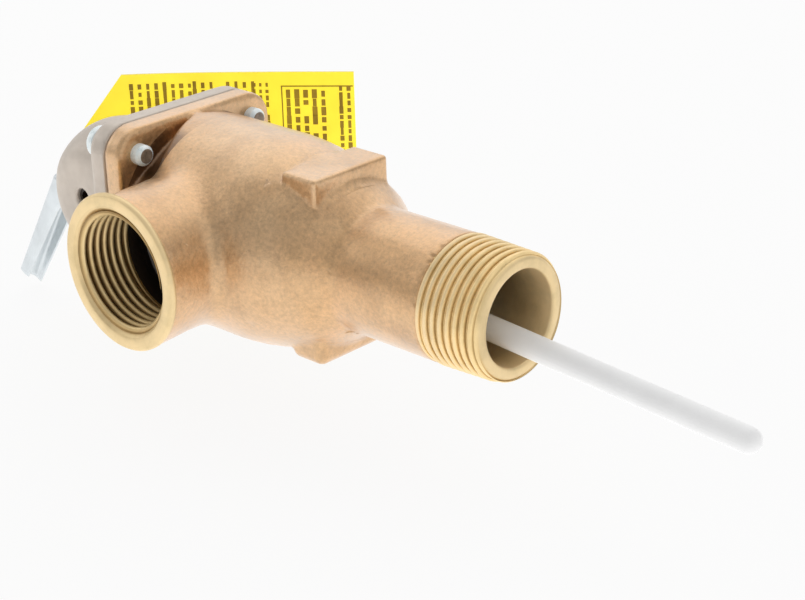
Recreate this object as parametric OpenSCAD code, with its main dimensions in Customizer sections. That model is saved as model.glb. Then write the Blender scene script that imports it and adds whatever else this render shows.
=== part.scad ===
// Temperature and pressure relief valve, 3/4 in, with test lever, sensing probe and hang tag.
// Each piece is drawn upright: z is the stem axis from the inlet face, x points out of the outlet.
// laid() then turns the valve down: inlet towards +X, outlet towards -Y, upper wrench pad towards +Z.

/* [Inlet] */
// Outside radius of the inlet pipe thread
inlet_thread_r = 13.335; // [13.2:0.005:13.4]
// Length of the inlet thread
inlet_thread_len = 15.3; // [13:0.1:18]
// Radius of the inlet bore
inlet_bore_r = 9.65; // [8.5:0.05:10]
// Radius of the cast shank behind the thread
shank_r = 13.1; // [12.6:0.1:13.1]
// Height at which the shank starts to flare
shank_top = 37.6; // [34:0.1:39]

/* [Body] */
// Outside radius of the valve chamber
bulb_r = 22.4; // [21.5:0.1:23]
// Inside radius of the valve chamber
chamber_r = 16.8; // [16:0.1:17]
// Height of the seat
seat_z = 62; // [61:0.5:63]
// Radius of the port through the seat
port_r = 6.35; // [5.5:0.05:6.6]
// Outside radius of the seat nozzle
nozzle_r = 9.4; // [8.6:0.1:9.8]

/* [Outlet] */
// Height of the outlet axis
outlet_z = 76.1; // [75:0.1:77]
// Distance from the stem axis to the outlet face
outlet_reach = 34.7; // [32:0.1:38]
// Radius of the outlet boss at its face
boss_r = 16.7; // [16:0.1:17.5]
// Radius of the tapped outlet bore
outlet_bore_r = 11.8; // [11:0.05:12]
// Radius of the outlet's countersunk mouth
mouth_r = 13.4; // [12.6:0.1:14]

/* [Flange] */
// Width of the flange and lid, along the outlet's direction
flange_x = 42.8; // [42:0.1:45]
// Height of the flange and lid, from wrench pad to wrench pad
flange_y = 45.8; // [45:0.1:47]
// Thickness of the cast flange
flange_t = 5.2; // [4.5:0.1:7]
// Height of the joint between the flange and the bonnet
joint_z = 94.8; // [94:0.1:95.5]
// Radius of the flange's corners
flange_corner_r = 6.5; // [5:0.5:8]
// Distance of each bonnet screw from the centre line, along the flange's width
screw_x = 15.5; // [15:0.1:16]
// Distance of each bonnet screw from the centre line, along the flange's height
screw_y = 17.2; // [16.5:0.1:17.5]
// Radius of the bonnet screws
screw_r = 2.35; // [2:0.05:2.4]

/* [Wrench pads] */
// Width of each wrench pad
pad_w = 20.8; // [18:0.2:24]
// Distance across the two pads
pad_across = 40.3; // [39:0.1:41]
// Height at which the pads start
pad_z = 43.4; // [42:0.2:45]
// Length of the pads along the valve
pad_len = 9.5; // [8:0.5:11]

/* [Bonnet] */
// Thickness of the bonnet's sheet steel
sheet_t = 1.8; // [1.4:0.1:2]
// Height of the bonnet's square lid
lid_h = 6.4; // [5.5:0.1:7]
// Radius of the lid's corners
lid_corner_r = 6.5; // [5:0.5:8]
// Radius of the bend round the lid's upper edge
lid_edge_r = 2.2; // [2:0.1:2.6]
// Outside radius of the hood
hood_r = 16.1; // [16:0.1:16.5]
// Offset of the hood and the lever's pivot below the stem axis
hood_drop = 0.7; // [0:0.1:1]
// Height of the hood's dome centre
dome_z = 115.2; // [114:0.1:116]
// Distance between the hood's two flat cheeks
cheek_w = 24; // [23:0.2:26]
// Width of the lever slot over the crown
slot_w = 8.4; // [8:0.1:9]

/* [Lever] */
// Height of the lever's pivot
pivot_z = 116.4; // [116:0.1:117]
// Distance of the lever's pivot from the hood's centre
pivot_off = 0.8; // [0.5:0.1:1]
// Radius of the pivot pin
pin_r = 2.1; // [1.9:0.05:2.1]
// Width over the lever's two flanges
lever_w = 7.2; // [7:0.1:7.4]
// Thickness of the lever's sheet steel
lever_t = 1.2; // [1:0.1:1.3]
// Slope of the lever's outer arm at rest, in degrees from the flange
lever_slope = 32.4; // [31:0.1:36]
// Length of the lever's outer arm on its short side
arm_len = 32; // [28:0.1:34]
// How much longer the arm is on its other side
arm_slant = 6.2; // [0:0.1:7]
// Angle that the lever turns through, in degrees
lever_turn = 45; // [30:1:45]
// Lift of the disc over that turn
disc_lift = 3.2; // [2:0.1:3.2]

/* [Spring] */
// Radius of the main spring's wire
wire_r = 1.1; // [0.9:0.05:1.3]
// Mean radius of the main spring's coils
coil_r = 9; // [8.8:0.1:9.2]
// Number of turns in the main spring
coil_turns = 7; // [6:0.5:8]

/* [Probe] */
// Radius of the plastic coated probe
probe_r = 2.5; // [2.4:0.05:2.6]
// Length of the probe below the point it hangs from
probe_len = 117.4; // [100:0.1:125]
// Angle at which the loose probe sags, in degrees
probe_sag = 4.12; // [0:0.02:4.2]
// Height of the point through which the sagging probe's axis passes
probe_centre_z = 64; // [62:0.5:66]

/* [Tag] */
// Length of the hang tag
tag_len = 64.5; // [50:0.1:66]
// Width of the hang tag
tag_w = 46; // [40:0.5:50]
// Thickness of the hang tag
tag_t = 0.6; // [0.4:0.1:0.8]
// Distance of the tag's plane from the stem axis at the inlet face
tag_plane = 101; // [100:0.1:102]
// Direction in which the tag faces, in degrees from the outlet towards the inlet
tag_yaw = 43.8; // [42:0.1:45]

/* [Hidden] */
$fn = 96;

// Small clearances and the overlap that lets one cut run past a face
fit = 0.05;
past = 1;

// Stack of the flange joint, from the cast ledge up
flange_under = joint_z - flange_t;
skirt_gap = 0.1;
lid_top = joint_z + lid_h;
lid_under = lid_top - sheet_t;
guide_t = 1.6;
guide_boss_h = 0.4;
spigot_h = 1.4;
gasket_t = 0.8;
recess_z = lid_under - guide_t - gasket_t;
recess_r = 18.2;
guide_r = 18.1;
register_gap = 0.4;
screw_head_r = 3.6;

// Disc and spring stack on the seat
disc_t = 2.4;
holder_r = 10.4;
holder_top = 67.4;
cup_t = 1.2;
spring_bottom = holder_top + cup_t;
spring_top = lid_under - guide_t;
stem_r = 2;
stem_top_r = 1.55;
stem_top = 109.3;
collar_z = 105.7;
collar_t = 1.5;
collar_r = 4.2;
clip_t = 0.7;

// Cam that lifts the collar: its radius falls steadily, so the lift follows the turn
cam_k = disc_lift / lever_turn;
cam_r0 = 13.3;
pivot_y = pivot_off - hood_drop;

// Pieces of the thermostat, along its own axis
cage_z = 36;
hub_top = 40;
head_r = 6.2;
tube_r = 2.1;
tube_bore_r = 1.5;
tip_z = probe_centre_z - probe_len;
piston_r = 1.4;

// Points along an arc, from angle a0 to a1
function arc(cx, cy, r, a0, a1, n = 8) =
    [for (i = [0:n]) let (a = a0 + (a1 - a0) * i / n) [cx + r * cos(a), cy + r * sin(a)]];

// Unit vector from a to b
function toward(a, b) = (b - a) / norm(b - a);

// Outline p with every corner i rounded to radius r[i]
function rounded(p, r, n = 5) = [for (i = [0:len(p) - 1])
    let (q = p[i], u = toward(q, p[(i + len(p) - 1) % len(p)]), v = toward(q, p[(i + 1) % len(p)]),
         half = acos(max(-1, min(1, u * v))) / 2, c = q + toward([0, 0], u + v) * r[i] / sin(half),
         s = q + u * r[i] / tan(half) - c, e = q + v * r[i] / tan(half) - c,
         a0 = atan2(s[1], s[0]), turn = atan2(s[0] * e[1] - s[1] * e[0], s * e))
    each (r[i] == 0 ? [q] : [for (k = [0:n]) c + r[i] * [cos(a0 + turn * k / n), sin(a0 + turn * k / n)]])];

// Turns the upright valve down into its own frame
module laid() {
    rotate([90, 0, -90]) children();
}

// Brings an outline drawn in (y, z) to a plate between two x positions
module plate_x(x0, x1) {
    translate([x0, 0, 0]) rotate([90, 0, 90]) linear_extrude(x1 - x0) children();
}

// Rectangle with round corners
module round_box(w, h, r) {
    square([w, h - 2 * r], center = true);
    square([w - 2 * r, h], center = true);
    for (x = [-w / 2 + r, w / 2 - r], y = [-h / 2 + r, h / 2 - r]) translate([x, y]) circle(r);
}

// The flange's and lid's outline, taken in by a margin
module flange_outline(margin, r) {
    round_box(flange_x - 2 * margin, flange_y - 2 * margin, r);
}

// The four screw positions
module at_screws() {
    for (x = [-screw_x, screw_x], y = [-screw_y, screw_y]) translate([x, y, 0]) children();
}

// Axis of the loose probe, which hangs a little below the valve's axis
module sagged() {
    translate([0, 0, probe_centre_z]) rotate([-probe_sag, 0, 0])
        translate([0, 0, -probe_centre_z]) children();
}

// Ring by its radii and heights
module ring(r_in, r_out, z0, z1) {
    translate([0, 0, z0]) difference() {
        cylinder(r = r_out, h = z1 - z0);
        translate([0, 0, -past]) cylinder(r = r_in, h = z1 - z0 + 2 * past);
    }
}

// ---- Cast body ----

shoulder_r = 17;
shoulder_z = 43;
bulb_z = 64;
// Radius of the arc that swells from the shoulder into the bulb
swell_r = (pow(bulb_r - shoulder_r, 2) + pow(bulb_z - shoulder_z, 2)) / (2 * (bulb_r - shoulder_r));
swell_a = asin((bulb_z - shoulder_z) / swell_r);

// Outside of the casting: thread, shank, shoulder and bulb
body_outline = concat(
    [[0, 0], [inlet_thread_r - 0.5, 0], [inlet_thread_r, 0.45], [inlet_thread_r, inlet_thread_len],
     [shank_r, inlet_thread_len], [shank_r, shank_top]],
    arc(bulb_r - swell_r, bulb_z, swell_r, -swell_a, 0, 10),
    [[bulb_r, flange_under + 1], [0, flange_under + 1]]);

// Waterway from the inlet mouth to the seat
port_outline = [[0, -past], [inlet_bore_r + 0.8, -past], [inlet_bore_r + 0.8, 0], [inlet_bore_r, 0.8],
    [inlet_bore_r, 44], [port_r, 48], [port_r, seat_z + past], [0, seat_z + past]];

// Chamber round the nozzle, open at the top for the bonnet
floor_z = 53;
chamber_outline = [[0, seat_z], [port_r + 1.05, seat_z], [nozzle_r, seat_z - 1.8], [nozzle_r + 0.4, floor_z],
    [chamber_r - 2.6, floor_z], [chamber_r, floor_z + 2.6], [chamber_r, recess_z], [recess_r, recess_z],
    [recess_r, lid_under + past], [0, lid_under + past]];

// Outlet boss, with a draft towards its face and a fillet at the bulb
boss_outline = concat(
    [[0, outlet_reach], [boss_r - 0.4, outlet_reach], [boss_r, outlet_reach - 0.6], [boss_r - 0.6, 26]],
    arc(boss_r + 2.4, 21, 3.5, 180, 270, 6),
    [[boss_r + 4.2, 12], [0, 12]]);

// Countersink of the outlet's mouth
mouth_depth = 1.6;

// Pockets in the bulb's shoulder that clear the screws' ends
pocket_r = 3.7;
pocket_h = 4;

module outlet_axis() {
    translate([0, 0, outlet_z]) rotate([0, 90, 0]) children();
}

pad_edge_r = 0.8;
module wrench_pad() {
    side = pad_w / 2;
    top = pad_across / 2;
    translate([0, 0, pad_z]) linear_extrude(pad_len)
        polygon(rounded([[-side, 0], [-side, top], [side, top], [side, 0]], [0, pad_edge_r, pad_edge_r, 0]));
}

module body_casting() {
    color("#c69c72") laid() difference() {
        union() {
            rotate_extrude() polygon(body_outline);
            translate([0, 0, flange_under]) linear_extrude(flange_t) flange_outline(0, flange_corner_r);
            translate([0, 0, joint_z]) linear_extrude(lid_under - joint_z)
                flange_outline(sheet_t + register_gap, lid_corner_r - sheet_t - register_gap);
            outlet_axis() rotate_extrude() polygon(boss_outline);
            wrench_pad();
            mirror([0, 1, 0]) wrench_pad();
        }
        rotate_extrude() polygon(port_outline);
        rotate_extrude() polygon(chamber_outline);
        outlet_axis() translate([0, 0, 12]) cylinder(r = outlet_bore_r, h = outlet_reach);
        outlet_axis() translate([0, 0, outlet_reach - mouth_depth])
            cylinder(r1 = outlet_bore_r, r2 = mouth_r, h = mouth_depth);
        outlet_axis() translate([0, 0, outlet_reach]) cylinder(r = mouth_r, h = past);
        at_screws() translate([0, 0, flange_under - past]) cylinder(r = screw_r + fit, h = 3 * flange_t);
        at_screws() translate([0, 0, flange_under - pocket_h]) cylinder(r = pocket_r, h = pocket_h);
    }
}

// ---- Bonnet joint ----

module bonnet_gasket() {
    color("#3d3a36") laid() ring(chamber_r + 0.1, guide_r, recess_z, recess_z + gasket_t);
}

// Steel plate that closes the chamber, guides the stem and carries the spring's thrust
module stem_guide_plate() {
    spigot_r = coil_r - wire_r - 0.3;
    color("#b9b9b4") laid() rotate_extrude() polygon([[stem_r + fit, spring_top - spigot_h],
        [spigot_r - 0.5, spring_top - spigot_h], [spigot_r, spring_top - spigot_h + 0.5],
        [spigot_r, spring_top],
        [guide_r, spring_top], [guide_r, lid_under], [stem_r + 2.4, lid_under],
        [stem_r + 2, lid_under + guide_boss_h], [stem_r + fit, lid_under + guide_boss_h]]);
}

// Half outline of the lid, from its centre out, with the bend at its upper edge
function lid_edge(half) = concat([[0, joint_z + skirt_gap], [half, joint_z + skirt_gap]],
    arc(half - lid_edge_r, lid_top - lid_edge_r, lid_edge_r, 0, 90, 6), [[0, lid_top]]);

module lid_bar(half, reach) {
    translate([0, reach, 0]) rotate([90, 0, 0]) linear_extrude(2 * reach) union() {
        polygon(lid_edge(half));
        mirror([1, 0]) polygon(lid_edge(half));
    }
}

module lid() {
    reach_x = flange_x / 2 - lid_corner_r;
    reach_y = flange_y / 2 - lid_corner_r;
    lid_bar(flange_x / 2, reach_y);
    rotate([0, 0, 90]) lid_bar(flange_y / 2, reach_x);
    for (x = [-reach_x, reach_x], y = [-reach_y, reach_y])
        translate([x, y, 0]) rotate_extrude() polygon(lid_edge(lid_corner_r));
}

// Round hood with a domed crown and two flat cheeks
module hood(r, cheek, bottom) {
    translate([0, -hood_drop, 0]) intersection() {
        union() {
            translate([0, 0, bottom]) cylinder(r = r, h = dome_z - bottom);
            translate([0, 0, dome_z]) sphere(r);
        }
        translate([-cheek / 2, -hood_r - past, bottom]) cube([cheek, 2 * hood_r + 2 * past, 60]);
    }
}

// Cut over the crown that lets the lever swing; its two ends point at the pivot
slot_back_a = 43.5;
slot_front_a = 118;
module lever_slot() {
    far = 26;
    translate([0, -hood_drop, 0]) plate_x(-slot_w / 2, slot_w / 2) polygon([[0, dome_z],
        far * [cos(slot_back_a), sin(slot_back_a)] + [0, dome_z], [0, dome_z + far],
        far * [cos(slot_front_a), sin(slot_front_a)] + [0, dome_z]]);
}

root_r = 2.4;
module bonnet() {
    color("#c9bfb2") laid() difference() {
        union() {
            lid();
            hood(hood_r, cheek_w, lid_under);
            translate([0, -hood_drop, 0]) intersection() {
                rotate_extrude() polygon(concat([[0, lid_top - 0.5], [hood_r + root_r, lid_top - 0.5]],
                    arc(hood_r + root_r, lid_top + root_r, root_r, 270, 180, 6), [[0, lid_top + root_r]]));
                translate([-cheek_w / 2, -hood_r - 2 * root_r, lid_top - 0.5])
                    cube([cheek_w, 2 * hood_r + 4 * root_r, root_r + 0.5]);
            }
        }
        translate([0, 0, joint_z - past]) linear_extrude(lid_under - joint_z + past)
            flange_outline(sheet_t, lid_corner_r - sheet_t);
        hood(hood_r - sheet_t, cheek_w - 2 * sheet_t, lid_under - past);
        lever_slot();
        translate([-hood_r, pivot_y, pivot_z]) rotate([0, 90, 0]) cylinder(r = pin_r + fit, h = 2 * hood_r);
        at_screws() translate([0, 0, joint_z]) cylinder(r = screw_r + 0.25, h = lid_h + past);
    }
}

head_h = 3;
screw_end = flange_under - 2.2;
// Pan head screws with a cross slot each
module bonnet_screws() {
    color("#dfe3e6") laid() at_screws() difference() {
        union() {
            translate([0, 0, screw_end]) cylinder(r1 = screw_r - 0.5, r2 = screw_r, h = 0.6);
            translate([0, 0, screw_end + 0.6]) cylinder(r = screw_r, h = lid_top - screw_end - 0.6);
            rotate_extrude() polygon(concat([[0, lid_top], [screw_head_r, lid_top]],
                arc(screw_head_r - 1.8, lid_top + 1.2, 1.8, 0, 90, 6), [[0, lid_top + head_h]]));
        }
        for (a = [0, 90]) rotate([0, 0, a]) translate([-2.1, -0.5, lid_top + 1.3]) cube([4.2, 1, head_h]);
    }
}

// ---- Disc, stem and spring ----

// Height along the spring: the two end turns lie flat, the others share the rest
function coil_z(t) = let (w = 2 * wire_r, rise = spring_top - spring_bottom - 3 * w, open = coil_turns - 2)
    t < 1 ? w * t : t > coil_turns - 1 ? w + rise + w * (t - coil_turns + 1) : w + rise * (t - 1) / open;

coil_steps = 20;

// Round bar of radius r along the points p, with n sides; ref is never along the bar
module sweep(p, r, n, ref) {
    last = len(p) - 1;
    points = [for (i = [0:last]) let (t = p[min(i + 1, last)] - p[max(i - 1, 0)],
        a = cross(t, ref) / norm(cross(t, ref)), b = cross(a, t) / norm(t))
        for (j = [0:n - 1]) p[i] + r * (a * cos(360 * j / n) + b * sin(360 * j / n))];
    skin = [for (i = [0:last - 1], j = [0:n - 1]) let (k = (j + 1) % n)
        [i * n + j, i * n + k, (i + 1) * n + k, (i + 1) * n + j]];
    ends = [[for (j = [0:n - 1]) n - 1 - j], [for (j = [0:n - 1]) last * n + j]];
    polyhedron(points, concat(skin, ends), convexity = 8);
}

module main_spring() {
    middle = spring_bottom + wire_r;
    color("#c4c8ca") laid() sweep([for (i = [0:coil_turns * coil_steps]) let (t = i / coil_steps)
        [coil_r * cos(360 * t), coil_r * sin(360 * t), middle + coil_z(t)]], wire_r, 8, [0, 0, 1]);
}

// Pressed cup that centres the spring on the disc holder
module spring_cup() {
    outer = coil_r + wire_r + 1.3;
    color("#c4c8ca") laid() rotate_extrude() polygon([[4.65, holder_top], [outer - 0.8, holder_top],
        [outer, holder_top + 0.8], [outer, spring_bottom + 1.6], [outer - 1, spring_bottom + 1.6],
        [outer - 1, spring_bottom], [4.65, spring_bottom]]);
}

module disc_holder() {
    rim_z = seat_z + 0.9;
    recess_top = seat_z + disc_t;
    color("#d3b45f") laid() rotate_extrude() polygon([[1.55, recess_top], [8.75, recess_top], [8.75, rim_z],
        [holder_r, rim_z], [holder_r, holder_top - 1], [holder_r - 1, holder_top], [4.6, holder_top],
        [4.6, 72.4], [4, 73], [stem_r + fit, 73], [stem_r + fit, 68.4], [1.55, 68.4]]);
}

module seat_disc() {
    color("#b5532a") laid() ring(1.7, 8.7, seat_z + 0.02, seat_z + disc_t);
}

module disc_washer() {
    color("#c4c8ca") laid() ring(1.6, 4.6, seat_z - 0.8, seat_z + 0.02);
}

module disc_screw() {
    head_z = seat_z - 2;
    color("#c4c8ca") laid() difference() {
        union() {
            translate([0, 0, head_z]) cylinder(r1 = 2.4, r2 = 3, h = 0.5);
            translate([0, 0, head_z + 0.5]) cylinder(r = 3, h = 0.7);
            translate([0, 0, head_z]) cylinder(r = 1.5, h = 7.6);
        }
        translate([-4, -0.4, head_z - past]) cube([8, 0.8, past + 0.6]);
    }
}

module stem() {
    clip_z = collar_z + collar_t;
    color("#d3b45f") laid() rotate_extrude() polygon([[0, 68.5], [stem_r - 0.4, 68.5], [stem_r, 68.9],
        [stem_r, collar_z], [stem_top_r, collar_z], [stem_top_r, clip_z], [1.15, clip_z],
        [1.15, clip_z + clip_t + 0.1], [stem_top_r, clip_z + clip_t + 0.1], [stem_top_r, stem_top - 0.4],
        [stem_top_r - 0.4, stem_top], [0, stem_top]]);
}

// Washer under which the lever's two cams lift the stem
module lift_collar() {
    color("#c4c8ca") laid() ring(stem_top_r + fit, collar_r, collar_z, collar_z + collar_t);
}

// Open ring snapped into the stem's groove above the collar
module stem_clip() {
    z = collar_z + collar_t + fit;
    color("#9aa0a3") laid() difference() {
        ring(1.2, 3.3, z, z + clip_t);
        translate([-0.9, 0, z - past]) cube([1.8, 5, clip_t + 2 * past]);
    }
}

// ---- Lever ----

pivot = [pivot_y, pivot_z];
// The outer arm's upper face starts here and runs along arm_u; arm_v points to its open side
arm_start = [-2.7, 139.3];
arm_u = [-cos(lever_slope), sin(lever_slope)];
arm_v = [-sin(lever_slope), -cos(lever_slope)];
root_depth = 5;
tail_depth = 2.8;
arm_end = arm_len + arm_slant;

// Side of the lever: ear at the pivot, neck through the slot, and the tapering arm
neck_back = [pivot + [4, 3], pivot + [-1, 15], arm_start - 2 * arm_u];
neck_front = [arm_start + 5.2 * arm_u + root_depth * arm_v, pivot + [-7.4, 14.4], pivot + [-4.7, 1.6]];
side_outline = rounded(concat(neck_back,
    [arm_start + arm_end * arm_u, arm_start + arm_end * arm_u + tail_depth * arm_v], neck_front),
    [0, 6, 3, 0.8, 0.8, 5, 6, 0]);

// Inside of the channel: everything more than a sheet's thickness below the arm's upper face
inner_back = [pivot + [14, -20], pivot + [14, 11], pivot + [-1 - lever_t, 14.6],
    arm_start - 1.2 * arm_u + lever_t * arm_v];
beyond = arm_end + 9;
channel_outline = rounded(concat(inner_back, [arm_start + beyond * arm_u + lever_t * arm_v,
    arm_start + beyond * arm_u + 20 * arm_v, pivot + [-14, -20]]), [0, 0, 5, 2, 0, 0, 0]);

// Cam hook under the collar, between two spirals about the pivot, on a spoke from the ear
cam_from = -6;
cam_to = 74;
spoke_to = 98;
function spiral(a, extra) = (cam_r0 - cam_k * a + extra) * [sin(a), -cos(a)];
cam_outline = concat([for (a = [cam_from:4:cam_to]) pivot + spiral(a, 0)], [pivot],
    [for (a = [spoke_to:-4:cam_from]) pivot + spiral(a, 2.4 + a / 60)]);

module lever() {
    color("#d5dade") laid() difference() {
        plate_x(-lever_w / 2, lever_w / 2) {
            polygon(side_outline);
            translate(pivot) circle(5);
            polygon(cam_outline);
        }
        plate_x(-lever_w / 2 + lever_t, lever_w / 2 - lever_t) polygon(channel_outline);
        translate([-lever_w, pivot_y, pivot_z]) rotate([0, 90, 0]) cylinder(r = pin_r + fit, h = 2 * lever_w);
        // The arm's end is cut on a slant
        multmatrix([[1, 0, 0, 0], [0, arm_u[0], arm_v[0], arm_start[0]], [0, arm_u[1], arm_v[1], arm_start[1]]])
            linear_extrude(30, center = true) polygon([[lever_w / 2, arm_len], [lever_w, arm_len],
                [lever_w, beyond], [-lever_w, beyond], [-lever_w, arm_end], [-lever_w / 2, arm_end]]);
    }
}

// Hollow pin with one head, on whose shank the tag's wire hangs
pin_head_x = -cheek_w / 2 - 1.9;
pin_end_x = cheek_w / 2 - 1.1;
module pivot_pin() {
    color("#c4c8ca") laid() translate([0, pivot_y, pivot_z]) rotate([0, 90, 0]) difference() {
        union() {
            translate([0, 0, pin_head_x]) cylinder(r = pin_r, h = pin_end_x - pin_head_x);
            translate([0, 0, pin_head_x - 1.4]) cylinder(r1 = 2.8, r2 = 3.6, h = 0.6);
            translate([0, 0, pin_head_x - 0.8]) cylinder(r = 3.6, h = 0.8);
        }
        translate([0, 0, pin_end_x - 8]) cylinder(r = 1.4, h = 9);
    }
}

module lever_spacers() {
    inner = lever_w / 2 + 0.15;
    outer = cheek_w / 2 - sheet_t - 0.15;
    color("#c4c8ca") laid() for (side = [0, 1]) mirror([side, 0, 0])
        translate([0, pivot_y, pivot_z]) rotate([0, 90, 0]) ring(pin_r + fit, pin_r + 1.3, inner, outer);
}

// ---- Thermostat ----

// Ring pressed into the inlet bore, with three arms and the hub that the head hangs in
module thermostat_cage() {
    hub_r = 4.6;
    foot = cage_z + 1.5;
    color("#c4c8ca") laid() {
        ring(inlet_bore_r - 1.6, inlet_bore_r - fit, cage_z, hub_top);
        ring(hub_r, hub_r + 1.4, foot, hub_top);
        for (a = [90, 210, 330]) rotate([0, 0, a])
            translate([hub_r + 0.7, -0.8, foot]) cube([3, 1.6, hub_top - foot]);
    }
}

module thermostat_head() {
    color("#d3b45f") laid() sagged() rotate_extrude() polygon([[tube_r + fit, hub_top + 0.6],
        [head_r - 0.6, hub_top + 0.6], [head_r, hub_top + 1.2], [head_r, 44.6], [head_r - 1.4, 46],
        [3.6, 46], [3.2, 50], [piston_r + fit, 50], [piston_r + fit, 43], [tube_r + fit, 43]]);
}

module thermostat_tube() {
    end_z = tip_z + probe_r;
    color("#b87a4b") laid() sagged() difference() {
        union() {
            translate([0, 0, end_z]) sphere(tube_r - 0.02);
            translate([0, 0, end_z]) cylinder(r = tube_r - 0.02, h = 42.8 - end_z);
        }
        translate([0, 0, end_z]) cylinder(r = tube_bore_r, h = 60 - end_z);
    }
}

module thermostat_wax() {
    color("#e8e2c8") laid() sagged() translate([0, 0, tip_z + probe_r + fit])
        cylinder(r = tube_bore_r - fit, h = 38 - tip_z - probe_r - fit);
}

module piston_seal() {
    color("#3d3a36") laid() sagged() translate([0, 0, 38.05]) cylinder(r = tube_bore_r - fit, h = 2.4);
}

module thermostat_piston() {
    color("#c4c8ca") laid() sagged() {
        translate([0, 0, 40.6]) cylinder(r = piston_r - 0.02, h = 17.6);
        translate([0, 0, 58.2]) cylinder(r1 = piston_r - 0.02, r2 = piston_r - 0.5, h = 0.5);
    }
}

// White plastic sleeve that covers the tube down to its round tip
module probe_coating() {
    color("#eef0f0") laid() sagged() difference() {
        union() {
            translate([0, 0, tip_z + probe_r]) sphere(probe_r);
            translate([0, 0, tip_z + probe_r]) cylinder(r = probe_r, h = hub_top + 0.4 - tip_z - probe_r);
        }
        translate([0, 0, tip_z + probe_r]) sphere(tube_r + 0.02);
        translate([0, 0, tip_z + probe_r]) cylinder(r = tube_r + 0.02, h = 60 - tip_z);
    }
}

// ---- Tag ----

tag_top = 19.4;
tag_mid = tag_top - tag_w / 2;
tag_near_x = -6.4;
tag_near_z = (tag_plane + tag_near_x * cos(tag_yaw)) / sin(tag_yaw);
hole_in = 4.6;
hole_r = 2.4;
chamfer_len = 10.3;
chamfer_h = 13.35;

// Plane of the tag: u runs away from the hole's end, v is up, and w faces front
module tag_place() {
    translate([tag_near_x, tag_mid, tag_near_z])
        multmatrix([[-sin(tag_yaw), 0, cos(tag_yaw), 0], [0, 1, 0, 0], [-cos(tag_yaw), 0, -sin(tag_yaw), 0]])
            children();
}

module tag() {
    h = tag_w / 2;
    color("#f6dd2c") laid() tag_place() translate([0, 0, -tag_t / 2]) linear_extrude(tag_t) difference() {
        polygon([[0, h - chamfer_h], [chamfer_len, h], [tag_len, h], [tag_len, -h], [chamfer_len, -h],
            [0, chamfer_h - h]]);
        translate([hole_in, 0]) circle(hole_r);
    }
}

tag_wire_r = 0.5;
eye_r = 3.2;
ring_r = 3.2;
eye_x = -cheek_w / 2 - 0.95;

// Point of the tag's plane, moved w towards its front
function on_tag(u, w) = [tag_near_x - u * sin(tag_yaw) + w * cos(tag_yaw), tag_mid,
    tag_near_z - u * cos(tag_yaw) - w * sin(tag_yaw)];

function bezier(a, b, c, d, t) =
    pow(1 - t, 3) * a + 3 * t * pow(1 - t, 2) * b + 3 * t * t * (1 - t) * c + t * t * t * d;

// Eye round the pivot pin, run past the hood, and ring through the tag's hole
wire_start = [eye_x, pivot_y + eye_r, pivot_z];
wire_stop = on_tag(hole_in - ring_r, ring_r);
wire_a = wire_start + [-1.65, 0, 12];
wire_b = wire_stop - [4.15, 0, 4.33];
wire_path = concat(
    [for (a = [-325:15:-10]) [eye_x, pivot_y + eye_r * cos(a), pivot_z + eye_r * sin(a)]],
    [for (t = [0:0.1:0.95]) bezier(wire_start, wire_a, wire_b, wire_stop, t)],
    [for (b = [90:15:415]) on_tag(hole_in - ring_r + ring_r * cos(b), ring_r * sin(b))]);

module tag_wire() {
    color("#b4b8ba") laid() sweep(wire_path, tag_wire_r, 8, [1, 1, 0]);
}

body_casting();
bonnet_gasket();
stem_guide_plate();
bonnet();
bonnet_screws();
main_spring();
spring_cup();
stem();
disc_holder();
seat_disc();
disc_washer();
disc_screw();
lift_collar();
stem_clip();
lever();
pivot_pin();
lever_spacers();
thermostat_cage();
thermostat_head();
thermostat_tube();
thermostat_wax();
piston_seal();
thermostat_piston();
probe_coating();
tag();
tag_wire();
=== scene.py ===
from math import radians, sin, cos, tau

import bpy
import numpy as np
import openvdb
from mathutils import Matrix, Vector


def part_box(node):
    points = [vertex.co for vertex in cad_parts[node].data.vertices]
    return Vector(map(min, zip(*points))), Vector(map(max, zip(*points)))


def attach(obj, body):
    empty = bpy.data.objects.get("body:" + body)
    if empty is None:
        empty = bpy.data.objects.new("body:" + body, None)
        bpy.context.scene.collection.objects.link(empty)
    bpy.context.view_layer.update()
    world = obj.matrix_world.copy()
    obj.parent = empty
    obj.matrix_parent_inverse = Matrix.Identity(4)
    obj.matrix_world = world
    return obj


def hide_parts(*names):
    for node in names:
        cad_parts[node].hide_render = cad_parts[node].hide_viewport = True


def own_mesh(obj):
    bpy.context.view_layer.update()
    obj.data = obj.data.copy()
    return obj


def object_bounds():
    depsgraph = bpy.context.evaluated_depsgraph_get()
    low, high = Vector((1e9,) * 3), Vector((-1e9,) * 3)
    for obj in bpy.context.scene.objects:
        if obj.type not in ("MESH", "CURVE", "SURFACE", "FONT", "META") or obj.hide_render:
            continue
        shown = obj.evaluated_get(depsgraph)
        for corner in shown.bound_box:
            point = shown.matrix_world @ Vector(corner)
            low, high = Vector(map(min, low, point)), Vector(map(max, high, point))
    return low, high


bl_info = {
    "name": "Relief Valve",
    "version": (1, 0, 0),
    "blender": (4, 5, 0),
    "location": "View3D > Sidebar > Relief Valve",
    "description": "Dresses a relief valve: casting, threads, bonnet, screws, lever, spring, tag and wire",
    "category": "Object",
}

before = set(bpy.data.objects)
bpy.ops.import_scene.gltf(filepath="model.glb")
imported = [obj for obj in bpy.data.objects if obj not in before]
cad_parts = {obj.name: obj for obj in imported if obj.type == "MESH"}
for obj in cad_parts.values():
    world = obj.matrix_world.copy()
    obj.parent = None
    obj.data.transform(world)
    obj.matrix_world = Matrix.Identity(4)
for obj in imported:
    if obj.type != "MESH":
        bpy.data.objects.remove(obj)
cad_low, cad_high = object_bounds()

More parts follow.
